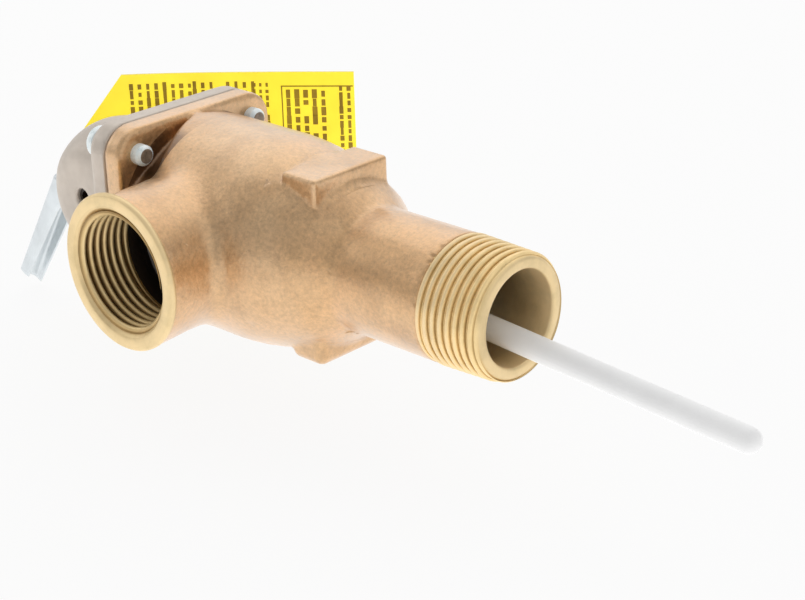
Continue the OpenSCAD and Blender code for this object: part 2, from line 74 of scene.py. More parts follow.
# Sizes below are in millimetres in the upright valve: z along the stem from the inlet face,
# x out of the outlet, y towards the upper wrench pad. lay() turns them into the frame in metres.
FLANGE_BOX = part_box("bonnet")
JOINT_GAP = 0.1
JOINT_Z = -1000 * FLANGE_BOX[1].x - JOINT_GAP
FLANGE_X = 500 * (FLANGE_BOX[1].y - FLANGE_BOX[0].y)
FLANGE_Y = 500 * (FLANGE_BOX[1].z - FLANGE_BOX[0].z)
FLANGE_CORNER = 6.5
FLANGE_DEPTH = 5.2
LID_TOP = JOINT_Z + 6.4
HOOD_Y, HOOD_R, HOOD_HALF = -0.5, 16.35, 12.0
DOME_Z = 115.3
SHEET = 1.8
PIVOT = (0.1, 116.4)
PIN_HOLE_R = 2.15
SCREWS = (15.9, 17.3)
OUTLET_Z, OUTLET_FACE = 76.1, 34.7
STEM_LIFT, LEVER_TURN = 3.2, 45

# Tag and wire
TAG_YAW, TAG_PLANE, TAG_X = 43.8, 101, -6.4
TAG_TOP, TAG_HALF, TAG_LENGTH, TAG_HALF_THICK = 19.4, 23.0, 64.5, 0.3
TAG_CHAMFER = (10.3, 13.35)
TAG_HOLE, TAG_HOLE_R = 4.6, 2.4
TAG_CURL = 1.7
TAG_WAVE = (-0.1203, 0.003713, -2.23e-5)
WIRE_R, WIRE_LOOP_R, WIRE_EYE_X = 0.5, 3.2, -12.95

UPRIGHT = Matrix(((0, 0, -1, 0), (-1, 0, 0, 0), (0, 1, 0, 0), (0, 0, 0, 1)))


def lay(points):
    """Upright millimetres to the frame's metres."""
    p = np.asarray(points, float).reshape(-1, 3)
    return np.column_stack([-p[:, 2], -p[:, 0], p[:, 1]]) / 1000


# ---- mesh helpers

def link(name, data):
    """New object in the scene's own collection."""
    made = bpy.data.objects.new(name, data)
    bpy.context.scene.collection.objects.link(made)
    return made


def add_mesh(name, points, faces, material, smooth=True):
    """New mesh object with its place in its vertices."""
    mesh = bpy.data.meshes.new(name)
    mesh.from_pydata(np.asarray(points, float).tolist(), [], [list(map(int, f)) for f in faces])
    mesh.validate()
    mesh.materials.append(material)
    mesh.polygons.foreach_set("use_smooth", [smooth] * len(mesh.polygons))
    mesh.update()
    return link(name, mesh)


def add_solid(name, points, faces, look, smooth=True):
    """Closed mesh from upright millimetres, with its faces turned outward."""
    laid = lay(points)
    return add_mesh(name, laid, outward(laid, faces), finish(look), smooth)


def settle(piece, body, slot, *nodes):
    """Rides the piece on its body and lets it stand for CAD nodes; slot is not used."""
    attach(piece, body)
    if nodes:
        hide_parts(*nodes)
    return piece


def lathe(profile, steps=160):
    """Closed ring of revolution about z through (r, z) points listed round its section."""
    turns = np.linspace(0, tau, steps, endpoint=False)
    ring = np.array([[(r * cos(t), r * sin(t), z) for r, z in profile] for t in turns])
    n = len(profile)
    faces = []
    for i in range(steps):
        j = (i + 1) % steps
        for k in range(n):
            m = (k + 1) % n
            faces.append((i * n + k, j * n + k, j * n + m, i * n + m))
    return ring.reshape(-1, 3), faces


def outward(points, faces):
    """Faces turned so that the closed mesh holds a positive volume."""
    p = np.asarray(points, float)
    total = 0.0
    for f in faces:
        a, b = p[f[0]], p[f[1]]
        for k in range(2, len(f)):
            c = p[f[k]]
            total += np.dot(a, np.cross(b, c))
            b = c
    return faces if total > 0 else [tuple(reversed(f)) for f in faces]


def sweep(path, radius, sides=16):
    """Round bar along points, with closed ends."""
    p = np.asarray(path, float)
    t = np.gradient(p, axis=0)
    t /= np.linalg.norm(t, axis=1)[:, None]
    a = np.cross(t[0], (0.3, 0.5, 0.8))
    rows = []
    for i in range(len(p)):
        a = a - np.dot(a, t[i]) * t[i]
        a /= np.linalg.norm(a)
        b = np.cross(t[i], a)
        rows += [p[i] + radius * (a * cos(tau * k / sides) + b * sin(tau * k / sides)) for k in range(sides)]
    faces = []
    for i in range(len(p) - 1):
        for k in range(sides):
            m = (k + 1) % sides
            faces.append((i * sides + k, i * sides + m, (i + 1) * sides + m, (i + 1) * sides + k))
    faces.append(tuple(range(sides - 1, -1, -1)))
    faces.append(tuple((len(p) - 1) * sides + k for k in range(sides)))
    return np.array(rows), faces


# ---- distance fields

def axes(low, high, step):
    """Open grid of coordinates between two corners."""
    spans = [np.arange(a, b + step, step, dtype=np.float32) for a, b in zip(low, high)]
    return np.meshgrid(*spans, indexing="ij", sparse=True)


def blend_in(a, b, k):
    """Union with a fillet about k wide."""
    h = np.maximum(k - np.abs(a - b), 0) / k
    return np.minimum(a, b) - h * h * k / 4


def blend_common(a, b, k):
    """What a and b share, with its edge rounded."""
    return -blend_in(-a, -b, k)


def blend_cut(a, b, k):
    """a without b, with its new edge rounded."""
    return -blend_in(-a, b, k)


def cut(a, b):
    """a without b, with sharp edges."""
    return np.maximum(a, -b)


def overlap(*fields):
    """What all the fields share, with sharp edges."""
    total = fields[0]
    for field in fields[1:]:
        total = np.maximum(total, field)
    return total


def circle_field(u, v, centre, radius):
    """Distance to a circle in a plane, negative inside."""
    return np.sqrt((u - centre[0]) ** 2 + (v - centre[1]) ** 2) - radius


def outline_field(u, v, outline):
    """Distance to a closed outline in a plane, negative inside."""
    u, v = np.broadcast_arrays(u, v)
    best = np.full(u.shape, 1e9, np.float32)
    inside = np.zeros(u.shape, bool)
    n = len(outline)
    for i in range(n):
        (x0, y0), (x1, y1) = outline[i], outline[(i + 1) % n]
        ex, ey = x1 - x0, y1 - y0
        length = ex * ex + ey * ey
        if length < 1e-9:
            continue
        h = np.clip(((u - x0) * ex + (v - y0) * ey) / length, 0, 1)
        dx, dy = u - x0 - h * ex, v - y0 - h * ey
        best = np.minimum(best, dx * dx + dy * dy)
        if y0 != y1:
            inside ^= ((y0 > v) != (y1 > v)) & (u < (v - y0) * ex / ey + x0)
    best = np.sqrt(best)
    return np.where(inside, -best, best)


def rounded(qs, r):
    """Distance to a box from the distances past its faces, with edges rounded by r."""
    out = np.sqrt(sum(np.maximum(q + r, 0) ** 2 for q in qs))
    return out + np.minimum(overlap(*[q + r for q in qs]), 0) - r


def box_field(x, y, z, centre, half, r=0.0):
    """Distance to a box with rounded edges."""
    return rounded([np.abs(a - c) - h for a, c, h in zip((x, y, z), centre, half)], r)


def flange_field(x, y):
    """Distance to the flange's outline: a rectangle with round corners."""
    return rounded([np.abs(x) - FLANGE_X, np.abs(y) - FLANGE_Y], FLANGE_CORNER)


def slab(d, z, low, high, r=0.0):
    """Flat outline's distance d made a plate between two heights, with edges rounded by r."""
    return rounded([d, np.abs(z - (low + high) / 2) - (high - low) / 2], r)


def field_mesh(field, low, step, flat=0.02):
    """Skin of a distance field, in millimetres."""
    grid = openvdb.FloatGrid(3 * step)
    grid.copyFromArray(np.clip(field, -3 * step, 3 * step).astype(np.float32))
    points, tris, quads = grid.convertToPolygons(isovalue=0.0, adaptivity=flat)
    points = np.asarray(points, float) * step + np.asarray(low, float)
    faces = [tuple(f) for f in tris] + [tuple(f) for f in quads]
    return points, outward(points, faces)


def add_skin(name, look, field, low, step, flat=0.02):
    """Piece skinned over a distance field in upright millimetres."""
    points, faces = field_mesh(field, low, step, flat)
    return add_mesh(name, lay(points), faces, finish(look))


# ---- node helpers

def feed(tree, socket, value):
    """Links a node's output to a socket, or sets the socket to a plain value."""
    if isinstance(value, bpy.types.NodeSocket):
        tree.links.new(value, socket)
    else:
        socket.default_value = value


def give(tree, node, **values):
    """Feeds sockets by name, with spaces as underscores."""
    for key, value in values.items():
        feed(tree, node.inputs[key.replace("_", " ")], value)


def put(tree, kind, *sources, **values):
    """New node: sources feed its first sockets; each value is a setting, or feeds a socket by name."""
    made = tree.nodes.new(kind)
    for key, value in values.items():
        if hasattr(made, key):
            setattr(made, key, value)
        else:
            give(tree, made, **{key: value})
    for socket, value in zip(made.inputs, sources):
        feed(tree, socket, value)
    return made


def calc(tree, operation, *values):
    """Math node on outputs and plain numbers; returns its result."""
    return put(tree, "ShaderNodeMath", *values, operation=operation).outputs[0]


def facing(tree, way, direction):
    """Dot product of a vector with a fixed direction."""
    return put(tree, "ShaderNodeVectorMath", way, direction, operation="DOT_PRODUCT").outputs["Value"]


def ramp(tree, source, stops):
    """Colour ramp; stops are (place, colour) pairs."""
    made = put(tree, "ShaderNodeValToRGB", source)
    band = made.color_ramp
    while len(band.elements) < len(stops):
        band.elements.new(0.5)
    for element, (at, tone) in zip(band.elements, stops):
        element.position = at
        element.color = (*tone, 1)
    return made.outputs[0]


def grey(value):
    return (value, value, value)


def scaled(colour, f):
    return tuple(min(1.0, c * f) for c in colour)


def tones(tree, colour, source, *stops):
    """One colour made lighter and darker by a pattern, from (place, factor) pairs."""
    return ramp(tree, source, [(at, scaled(colour, f)) for at, f in stops])


def noise(tree, where, scale, detail, rough):
    made = put(tree, "ShaderNodeTexNoise", Vector=where, Scale=scale, Detail=detail, Roughness=rough)
    return made.outputs["Fac"]


# ---- materials

def bump(tree, bsdf, height, distance, strength):
    """Relief laid over what the shader's normal already has."""
    made = put(tree, "ShaderNodeBump", Height=height, Distance=distance, Strength=strength)
    if bsdf.inputs["Normal"].links:
        give(tree, made, Normal=bsdf.inputs["Normal"].links[0].from_socket)
    give(tree, bsdf, Normal=made.outputs[0])


def roughen(tree, bsdf, source, *stops):
    """Roughness that follows a pattern, from (place, roughness) pairs."""
    give(tree, bsdf, Roughness=ramp(tree, source, [(at, grey(min(1, rough))) for at, rough in stops]))


def blended(tree, a, b, share=1.0, kind="MIX"):
    """Two colours mixed; b may be a plain colour."""
    made = put(tree, "ShaderNodeMix", data_type="RGBA", blend_type=kind)
    if isinstance(b, tuple):
        b = (*b, 1)
    for number, value in ((0, share), (6, a), (7, b)):
        feed(tree, made.inputs[number], value)
    return made.outputs[2]


def from_axis(tree, where, axis, centre=(0, 0, 0)):
    """Distance in metres from the line along one of the frame's axes through a centre."""
    keep = [1, 1, 1]
    keep[axis] = 0
    flat = put(tree, "ShaderNodeMapping", Vector=where, Scale=keep, Location=[-c for c in centre])
    return put(tree, "ShaderNodeVectorMath", flat.outputs[0], operation="LENGTH").outputs["Value"]


def turning_lines(tree, where, axis, lines=2600):
    """Fine rings as a lathe tool leaves them, across one axis."""
    squeeze = [0.02, 0.02, 0.02]
    squeeze[axis] = 1.0
    along = put(tree, "ShaderNodeMapping", Vector=where, Scale=squeeze)
    return noise(tree, along.outputs[0], lines, 2, 0.5)


def cast_bronze(tree, bsdf, where, colour):
    """Sand cast bronze: sparkling grain, slow mottling, a few dark marks, dirt and painted shade round the
    screws, and painted shade inside.
    """
    grain = noise(tree, where, 1100, 4, 0.75)
    mottle = noise(tree, where, 95, 6, 0.62)
    patch = noise(tree, where, 38, 3, 0.5)
    speck = put(tree, "ShaderNodeTexVoronoi", Vector=where, Scale=900).outputs["Distance"]
    slow = ramp(tree, mottle, [(0.30, (0.80, 0.74, 0.66)), (0.52, (1.0, 0.97, 0.93)),
                               (0.72, (1.08, 1.03, 1.02))])
    tint = ramp(tree, patch, [(0.38, (1.0, 0.93, 0.84)), (0.62, (1.0, 1.0, 1.02))])
    marks = ramp(tree, noise(tree, where, 260, 5, 0.8), [(0.26, (0.35, 0.28, 0.22)), (0.33, grey(1))])
    mixed = tones(tree, colour, grain, (0.28, 0.76), (0.5, 1), (0.72, 1.22))
    for layer, share in ((slow, 1.0), (tint, 1.0), (marks, 0.13)):
        mixed = blended(tree, mixed, layer, share, "MULTIPLY")
    # Dirt and painted shade darken the relief round each screw: near a screw's axis and just under the flange
    apart = put(tree, "ShaderNodeSeparateXYZ", where).outputs
    across = put(tree, "ShaderNodeVectorMath", where, operation="ABSOLUTE").outputs[0]
    reach = calc(tree, "MULTIPLY", from_axis(tree, across, 0, (0, SCREWS[0] / 1000, SCREWS[1] / 1000)), 100)
    relief_dirt_and_shade = ramp(tree, reach, [(0.25, (0.27, 0.21, 0.15)), (0.75, (0.42, 0.35, 0.27)),
                              (1.0, (0.9, 0.86, 0.8))])
    relief_shade_low, relief_shade_high = 83.5, JOINT_Z - 4.9
    held = calc(tree, "MULTIPLY", calc(tree, "GREATER_THAN", apart[0], -relief_shade_high / 1000),
                calc(tree, "LESS_THAN", apart[0], -relief_shade_low / 1000))
    mixed = blended(tree, mixed, relief_dirt_and_shade, held, "MULTIPLY")
    # Painted shade: inside, painted near-black, is everything nearer the stem axis than the bore, and than
    # the chamber wall above its floor
    chamber_floor, bore_r, chamber_more, outlet_r = 52, 10.0, 7.1, 14.6
    above = calc(tree, "LESS_THAN", apart[0], -chamber_floor / 1000)
    wall = calc(tree, "MULTIPLY_ADD", above, chamber_more, bore_r)
    away = calc(tree, "MULTIPLY", from_axis(tree, where, 0), 1000)
    # and everything inside the outlet's bore
    beside = calc(tree, "MULTIPLY", from_axis(tree, where, 1, (-OUTLET_Z / 1000, 0, 0)), 1000)
    outlet = calc(tree, "MULTIPLY", calc(tree, "LESS_THAN", beside, outlet_r),
                  calc(tree, "LESS_THAN", apart[1], 0))
    inner = calc(tree, "MAXIMUM", calc(tree, "LESS_THAN", away, wall), outlet)
    roughen(tree, bsdf, grain, (0.35, 0.29), (0.65, 0.42))
    # The inside's near-black colour is painted shade
    give(tree, bsdf, Base_Color=blended(tree, mixed, (0.045, 0.030, 0.020), inner), Metallic=0.82,
         Coat_Weight=0.9, Coat_Roughness=0.30, Coat_IOR=1.7)
    bump(tree, bsdf, grain, 0.00010, 0.9)
    bump(tree, bsdf, speck, 0.00005, 0.6)
    bump(tree, bsdf, patch, 0.00040, 0.5)


def threaded_brass(tree, bsdf, where, colour, axis, centre, stops, dark=None):
    """Machined brass whose colour follows the distance from its axis, in 20 mm parts; painted near-black as
    shade past a depth.
    """
    away = calc(tree, "MULTIPLY", from_axis(tree, where, axis, centre), 50)
    line = turning_lines(tree, where, axis)
    stain = noise(tree, where, 190, 5, 0.65)
    base = ramp(tree, away, [(at, tuple(c * k for c, k in zip(colour, tone))) for at, tone in stops])
    cloud = ramp(tree, stain, [(0.3, (0.84, 0.84, 0.82)), (0.55, grey(1)), (0.8, (1.06, 1.04, 1.05))])
    mixed = blended(tree, base, cloud, kind="MULTIPLY")
    if dark is not None:
        # Past the last turn the bore is painted near-black as shade
        apart = put(tree, "ShaderNodeSeparateXYZ", where)
        beyond = calc(tree, "GREATER_THAN", apart.outputs[axis], dark)
        mixed = blended(tree, mixed, (0.040, 0.028, 0.020), beyond)
    roughen(tree, bsdf, line, (0.3, 0.34), (0.7, 0.52))
    give(tree, bsdf, Base_Color=mixed, Metallic=0.55)
    bump(tree, bsdf, line, 0.00002, 0.6)


def turned_metal(tree, bsdf, where, colour, rough, lines=2600):
    """Machined metal with fine turning lines across the stem's axis and slight staining."""
    line = turning_lines(tree, where, 0, lines)
    stain = noise(tree, where, 240, 4, 0.6)
    base = tones(tree, colour, stain, (0.3, 0.82), (0.6, 1), (0.8, 1.12))
    roughen(tree, bsdf, line, (0.3, rough * 0.75), (0.7, rough * 1.35))
    give(tree, bsdf, Base_Color=base, Metallic=1.0)
    bump(tree, bsdf, line, 0.00002, 0.6)


def pressed_metal(tree, bsdf, where, colour, rough, metallic, ripple=0.00006):
    """Plated sheet: soft cloudy plating, faint waviness from pressing and small scuffs."""
    cloud = noise(tree, where, 110, 4, 0.55)
    fine = noise(tree, where, 2600, 2, 0.6)
    scuff = noise(tree, where, 520, 6, 0.75)
    base = tones(tree, colour, cloud, (0.3, 0.9), (0.65, 1.06))
    roughen(tree, bsdf, scuff, (0.4, rough * 0.85), (0.68, rough * 1.3))
    give(tree, bsdf, Base_Color=base, Metallic=metallic)
    bump(tree, bsdf, cloud, ripple, 0.6)
    bump(tree, bsdf, fine, 0.00001, 0.5)


def soft_plastic(tree, bsdf, where, colour, rough, grain=1800, depth=0.00002, spread=0.06, glow=0.0):
    """Plastic, rubber or card: faint cloudiness, fine grain and, where thin, a painted glow in place of light
    from behind.
    """
    cloud = noise(tree, where, 120, 4, 0.6)
    fine = noise(tree, where, grain, 3, 0.6)
    base = tones(tree, colour, cloud, (0.3, 1 - spread), (0.7, 1 + spread))
    give(tree, bsdf, Base_Color=base)
    roughen(tree, bsdf, fine, (0.3, rough * 0.9), (0.7, rough * 1.15))
    if glow:
        # Painted glow in place of light through the sheet, on the faces whose "through" attribute is 1
        through = put(tree, "ShaderNodeAttribute", attribute_name="through").outputs["Fac"]
        give(tree, bsdf, Emission_Color=base, Emission_Strength=calc(tree, "MULTIPLY", through, glow))
    bump(tree, bsdf, fine, depth, 0.6)


def ends_painted_dark(tree, bsdf, where, colour, dark, way, limit):
    """Bright plating whose faces turned one way are painted dark as shade."""
    normal = put(tree, "ShaderNodeTexCoord").outputs["Normal"]
    cloud = noise(tree, where, 700, 4, 0.6)
    end = calc(tree, "GREATER_THAN", facing(tree, normal, way), limit)
    plated = tones(tree, colour, cloud, (0.3, 0.85), (0.6, 1.1))
    painted_shade_tone = tones(tree, dark, cloud, (0.3, 0.6), (0.7, 1.5))
    roughen(tree, bsdf, cloud, (0.3, 0.25), (0.7, 0.4))
    give(tree, bsdf, Base_Color=blended(tree, plated, painted_shade_tone, end), Metallic=0.10)
    bump(tree, bsdf, cloud, 0.00003, 0.5)


# Tones over the brass by distance from the thread's axis: bore, face, roots and crests. The inlet's roots are
# painted lighter against the shade in them; the outlet's roots are painted darker as shade
INLET_TONES = [(0.480, (1.12, 1.14, 1.2)), (0.492, grey(0.93)), (0.590, grey(0.93)),
               (0.620, (1.16, 1.13, 1.02)), (0.642, (1.14, 1.12, 1.04)), (0.656, (1.08, 1.09, 1.15))]
OUTLET_TONES = [(0.600, (1.0, 1.0, 0.95)), (0.612, (0.85, 0.80, 0.68)), (0.630, (0.62, 0.54, 0.40)),
                (0.645, (0.52, 0.42, 0.28)), (0.652, (0.85, 0.82, 0.74)), (0.662, (1.0, 1.0, 0.98)),
                (0.700, (0.96, 0.95, 0.92)), (0.708, grey(1.02))]
# Depth along the frame's Y past which the outlet's bore is painted near-black as shade
OUTLET_SHADE_START = -0.0216

MATERIALS = {}


def finish(name):
    """Material by name, made once from the colours in the panel."""
    if name in MATERIALS:
        return MATERIALS[name]
    c = bpy.context.scene.relief_valve_colours
    looks = {
        "cast_bronze": (cast_bronze, c.bronze),
        "turned_brass": (turned_metal, c.brass, 0.30),
        "inlet_brass": (threaded_brass, c.brass, 0, (0, 0, 0), INLET_TONES),
        "outlet_brass": (threaded_brass, c.brass, 1, (-OUTLET_Z / 1000, 0, 0), OUTLET_TONES, OUTLET_SHADE_START),
        "bonnet_steel": (pressed_metal, c.bonnet, 0.44, 0.45),
        "zinc_steel": (pressed_metal, c.zinc, 0.30, 0.7, 0.00003),
        # Screw ends, and the pivot pin in its hole, are painted dark as shade
        "screw_steel": (ends_painted_dark, (0.86, 0.98, 1.0), (0.24, 0.18, 0.13), (1, 0, 0), 0.93),
        "pin_steel": (ends_painted_dark, c.spring, (0.018, 0.012, 0.009), (0, -1, 0), -0.5),
        "lever_steel": (pressed_metal, c.lever, 0.34, 0.75, 0.00004),
        "spring_steel": (turned_metal, c.spring, 0.30, 2000),
        "copper": (turned_metal, (0.55, 0.27, 0.14), 0.34),
        "gasket": (soft_plastic, (0.045, 0.04, 0.036), 0.8, 1200, 0.00006, 0.3),
        "seat_rubber": (soft_plastic, (0.35, 0.06, 0.02), 0.6),
        "white_plastic": (soft_plastic, c.probe, 0.34, 900, 0.00003, 0.03),
        "wax": (soft_plastic, (0.78, 0.72, 0.5), 0.5),
        # The tag card's last value is the strength of its painted glow
        "tag_card": (soft_plastic, c.tag, 0.45, 2400, 0.00001, 0.08, 0.47),
        "tag_ink": (soft_plastic, c.ink, 0.5, 2400, 0.00001, 0.3),
    }
    make, *values = looks[name]
    material = bpy.data.materials.new(name)
    material.use_nodes = True
    tree = material.node_tree
    where = put(tree, "ShaderNodeTexCoord").outputs["Object"]
    make(tree, tree.nodes["Principled BSDF"], where, *values)
    MATERIALS[name] = material
    return material


# ---- geometry nodes

SOCKETS = {float: "NodeSocketFloat", int: "NodeSocketInt", bpy.types.Object: "NodeSocketObject"}


def new_tree(name, **inputs):
    """Geometry tree with named inputs; an input's value is a number, or a type that has none yet."""
    tree = bpy.data.node_groups.new(name, "GeometryNodeTree")
    tree.interface.new_socket("Geometry", in_out="OUTPUT", socket_type="NodeSocketGeometry")
    for label, value in inputs.items():
        number = not isinstance(value, type)
        kind = SOCKETS[type(value) if number else value]
        socket = tree.interface.new_socket(label.replace("_", " "), in_out="INPUT", socket_type=kind)
        if number:
            socket.default_value = value
    tree.interface.new_socket("Material", in_out="INPUT", socket_type="NodeSocketMaterial")
    return tree, tree.nodes.new("NodeGroupInput").outputs


def finish_tree(tree, get, geometry):
    """Realize Instances and Set Material at the tree's end."""
    real = put(tree, "GeometryNodeRealizeInstances", Geometry=geometry)
    coat = put(tree, "GeometryNodeSetMaterial", Geometry=real.outputs[0], Material=get["Material"])
    put(tree, "NodeGroupOutput", coat.outputs[0])
    return tree


def run_tree(tree, name, look, **values):
    """The tree's result as a plain mesh piece."""
    holder = link(name + "_holder", bpy.data.meshes.new(name + "_holder"))
    modifier = holder.modifiers.new("nodes", "NODES")
    modifier.node_group = tree
    keys = {s.name: s.identifier for s in tree.interface.items_tree if s.in_out == "INPUT"}
    for label, value in values.items():
        modifier[keys[label.replace("_", " ")]] = value
    modifier[keys["Material"]] = finish(look)
    graph = bpy.context.evaluated_depsgraph_get()
    mesh = bpy.data.meshes.new_from_object(holder.evaluated_get(graph))
    bpy.data.objects.remove(holder)
    mesh.name = name
    mesh.materials.clear()
    mesh.materials.append(finish(look))
    return link(name, mesh)


def thread_tree():
    """Helical ridge: a spiral carrying a triangular section that fades at both ends."""
    tree, get = new_tree("thread_ridge", Turns=8.0, Start_Radius=0.012, End_Radius=0.0125, Height=0.014,
                         Steps_Per_Turn=96, Depth=0.0012, Base=0.0018, Crest=0.0002)
    spiral = put(tree, "GeometryNodeCurveSpiral", Resolution=get["Steps Per Turn"], Rotations=get["Turns"],
                 Start_Radius=get["Start Radius"], End_Radius=get["End Radius"], Height=get["Height"])
    upright = put(tree, "GeometryNodeSetCurveNormal", mode="Z_UP", Curve=spiral.outputs[0])
    along = put(tree, "GeometryNodeSplineParameter").outputs["Factor"]
    fade = ramp(tree, along, [(0.0, grey(0.02)), (0.05, grey(1)), (0.95, grey(1)), (1.0, grey(0.02))])
    base, crest = [calc(tree, "MULTIPLY", get[width], 0.5) for width in ("Base", "Crest")]
    section = put(tree, "GeometryNodeCurvePrimitiveQuadrilateral", mode="POINTS")
    corners = [(0.0, base, -1), (get["Depth"], crest, -1), (get["Depth"], crest, 1), (0.0, base, 1)]
    for number, (depth, half, side) in enumerate(corners, 1):
        corner = put(tree, "ShaderNodeCombineXYZ", depth, calc(tree, "MULTIPLY", half, side))
        give(tree, section, **{f"Point {number}": corner.outputs[0]})
    solid = put(tree, "GeometryNodeCurveToMesh", Curve=upright.outputs[0], Profile_Curve=section.outputs[0],
                Scale=fade, Fill_Caps=True)
    return finish_tree(tree, get, solid.outputs[0])


def coil_tree():
    """Compression spring: a spiral whose end turns lie flat, swept with round wire."""
    tree, get = new_tree("spring_coil", Turns=7.0, Radius=0.009, Wire=0.0011, Rise=0.0264, End_Rise=0.0022)
    spiral = put(tree, "GeometryNodeCurveSpiral", Resolution=48, Rotations=get["Turns"],
                 Start_Radius=get["Radius"], End_Radius=get["Radius"], Height=0.0)
    along = put(tree, "GeometryNodeSplineParameter").outputs["Factor"]
    first = calc(tree, "DIVIDE", 1.0, get["Turns"])
    last = calc(tree, "SUBTRACT", 1.0, first)
    span = calc(tree, "SUBTRACT", calc(tree, "SUBTRACT", get["Rise"], get["End Rise"]), get["End Rise"])
    # The height is the sum of three climbs: first turn, open turns and last turn
    climbs = [dict(From_Max=first, To_Max=get["End Rise"]), dict(From_Min=first, From_Max=last, To_Max=span),
              dict(From_Min=last, To_Max=get["End Rise"])]
    low, middle, top = [put(tree, "ShaderNodeMapRange", Value=along, **c).outputs[0] for c in climbs]
    lift = put(tree, "ShaderNodeCombineXYZ", Z=calc(tree, "ADD", calc(tree, "ADD", low, middle), top))
    raised = put(tree, "GeometryNodeSetPosition", Geometry=spiral.outputs[0], Offset=lift.outputs[0])
    ring = put(tree, "GeometryNodeCurvePrimitiveCircle", Resolution=16, Radius=get["Wire"])
    solid = put(tree, "GeometryNodeCurveToMesh", Curve=raised.outputs[0], Profile_Curve=ring.outputs[0],
                Fill_Caps=True)
    return finish_tree(tree, get, solid.outputs[0])


def random_vector(tree, get, low, high):
    """Random vector from the tree's seed."""
    made = put(tree, "FunctionNodeRandomValue", low, high, data_type="FLOAT_VECTOR", Seed=get["Seed"])
    return made.outputs[0]


def square_tree():
    """A piece set at the four corners of a rectangle, each turned at random."""
    tree, get = new_tree("screw_square", Fastener=bpy.types.Object, Spacing_X=0.031, Spacing_Y=0.0344, Seed=4)
    grid = put(tree, "GeometryNodeMeshGrid", Size_X=get["Spacing X"], Size_Y=get["Spacing Y"], Vertices_X=2,
               Vertices_Y=2)
    one = put(tree, "GeometryNodeObjectInfo", transform_space="ORIGINAL", Object=get["Fastener"])
    turn = random_vector(tree, get, (0, 0, 0), (0, 0, tau))
    placed = put(tree, "GeometryNodeInstanceOnPoints", Points=grid.outputs[0],
                 Instance=one.outputs["Geometry"], Rotation=turn)
    return finish_tree(tree, get, placed.outputs[0])


def bars_tree():
    """Printed bars in rows and columns, each with its own length, some left out."""
    tree, get = new_tree("printed_bars", Width=0.02, Height=0.03, Columns=10, Rows=4, Bar_Width=0.0008,
                         Bar_Length=0.004, Ink=0.00003, Seed=3)
    kept_share = 0.9
    grid = put(tree, "GeometryNodeMeshGrid", Size_X=get["Width"], Size_Y=get["Height"],
               Vertices_X=get["Columns"], Vertices_Y=get["Rows"])
    drop = put(tree, "FunctionNodeRandomValue", data_type="FLOAT", Seed=get["Seed"]).outputs[1]
    missing = put(tree, "FunctionNodeCompare", operation="GREATER_THAN", A=drop, B=kept_share)
    kept = put(tree, "GeometryNodeDeleteGeometry", domain="POINT", Geometry=grid.outputs[0],
               Selection=missing.outputs[0])
    size = put(tree, "ShaderNodeCombineXYZ", get["Bar Width"], get["Bar Length"], get["Ink"])
    bar = put(tree, "GeometryNodeMeshCube", Size=size.outputs[0])
    share = random_vector(tree, get, (0.7, 0.5, 1), (1.1, 1.12, 1))
    placed = put(tree, "GeometryNodeInstanceOnPoints", Points=kept.outputs[0], Instance=bar.outputs[0],
                 Scale=share)
    return finish_tree(tree, get, placed.outputs[0])


# ---- settings

def length(name, text, value, least=0.0):
    return bpy.props.FloatProperty(name=name, description=text, default=value, min=least, unit="LENGTH")


def colour(name, text, *value):
    return bpy.props.FloatVectorProperty(name=name, description=text, subtype="COLOR", size=3, min=0, max=1,
                                         default=value)


class ReliefValveSizes(bpy.types.PropertyGroup):
    cast_grid: length("Casting grid", "Spacing of the grid that the casting is skinned on", 0.00055, 0.0004)
    cast_fillet: length("Casting fillet", "Width of the blend where the casting's forms meet", 0.0028, 0.001)
    thread_pitch: length("Thread pitch", "Distance from one thread crest to the next", 0.001814, 0.001)
    thread_depth: length("Thread depth", "Height of the thread ridges", 0.00125, 0.0005)
    spring_turns: bpy.props.FloatProperty(name="Spring turns", description="Turns of the main spring",
                                          default=7.0, min=4.0)
    tag_curl: length("Tag curl", "How far the tag's free end bows", 0.0017)


class ReliefValveColours(bpy.types.PropertyGroup):
    bronze: colour("Cast bronze", "Colour of the casting", 0.66, 0.435, 0.225)
    brass: colour("Machined brass", "Colour of the threads and faces", 0.86, 0.66, 0.36)
    bonnet: colour("Bonnet", "Colour of the pressed bonnet", 0.60, 0.53, 0.46)
    zinc: colour("Zinc plating", "Colour of screws and small steel parts", 0.80, 0.86, 0.90)
    lever: colour("Lever", "Colour of the test lever", 0.68, 0.72, 0.74)
    spring: colour("Spring", "Colour of the spring and wire", 0.50, 0.51, 0.52)
    probe: colour("Probe coating", "Colour of the probe's plastic", 0.91, 0.91, 0.91)
    tag: colour("Tag", "Colour of the hang tag", 1.0, 0.80, 0.045)
    ink: colour("Tag ink", "Colour of the tag's printed bars", 0.42, 0.27, 0.02)


# ---- casting

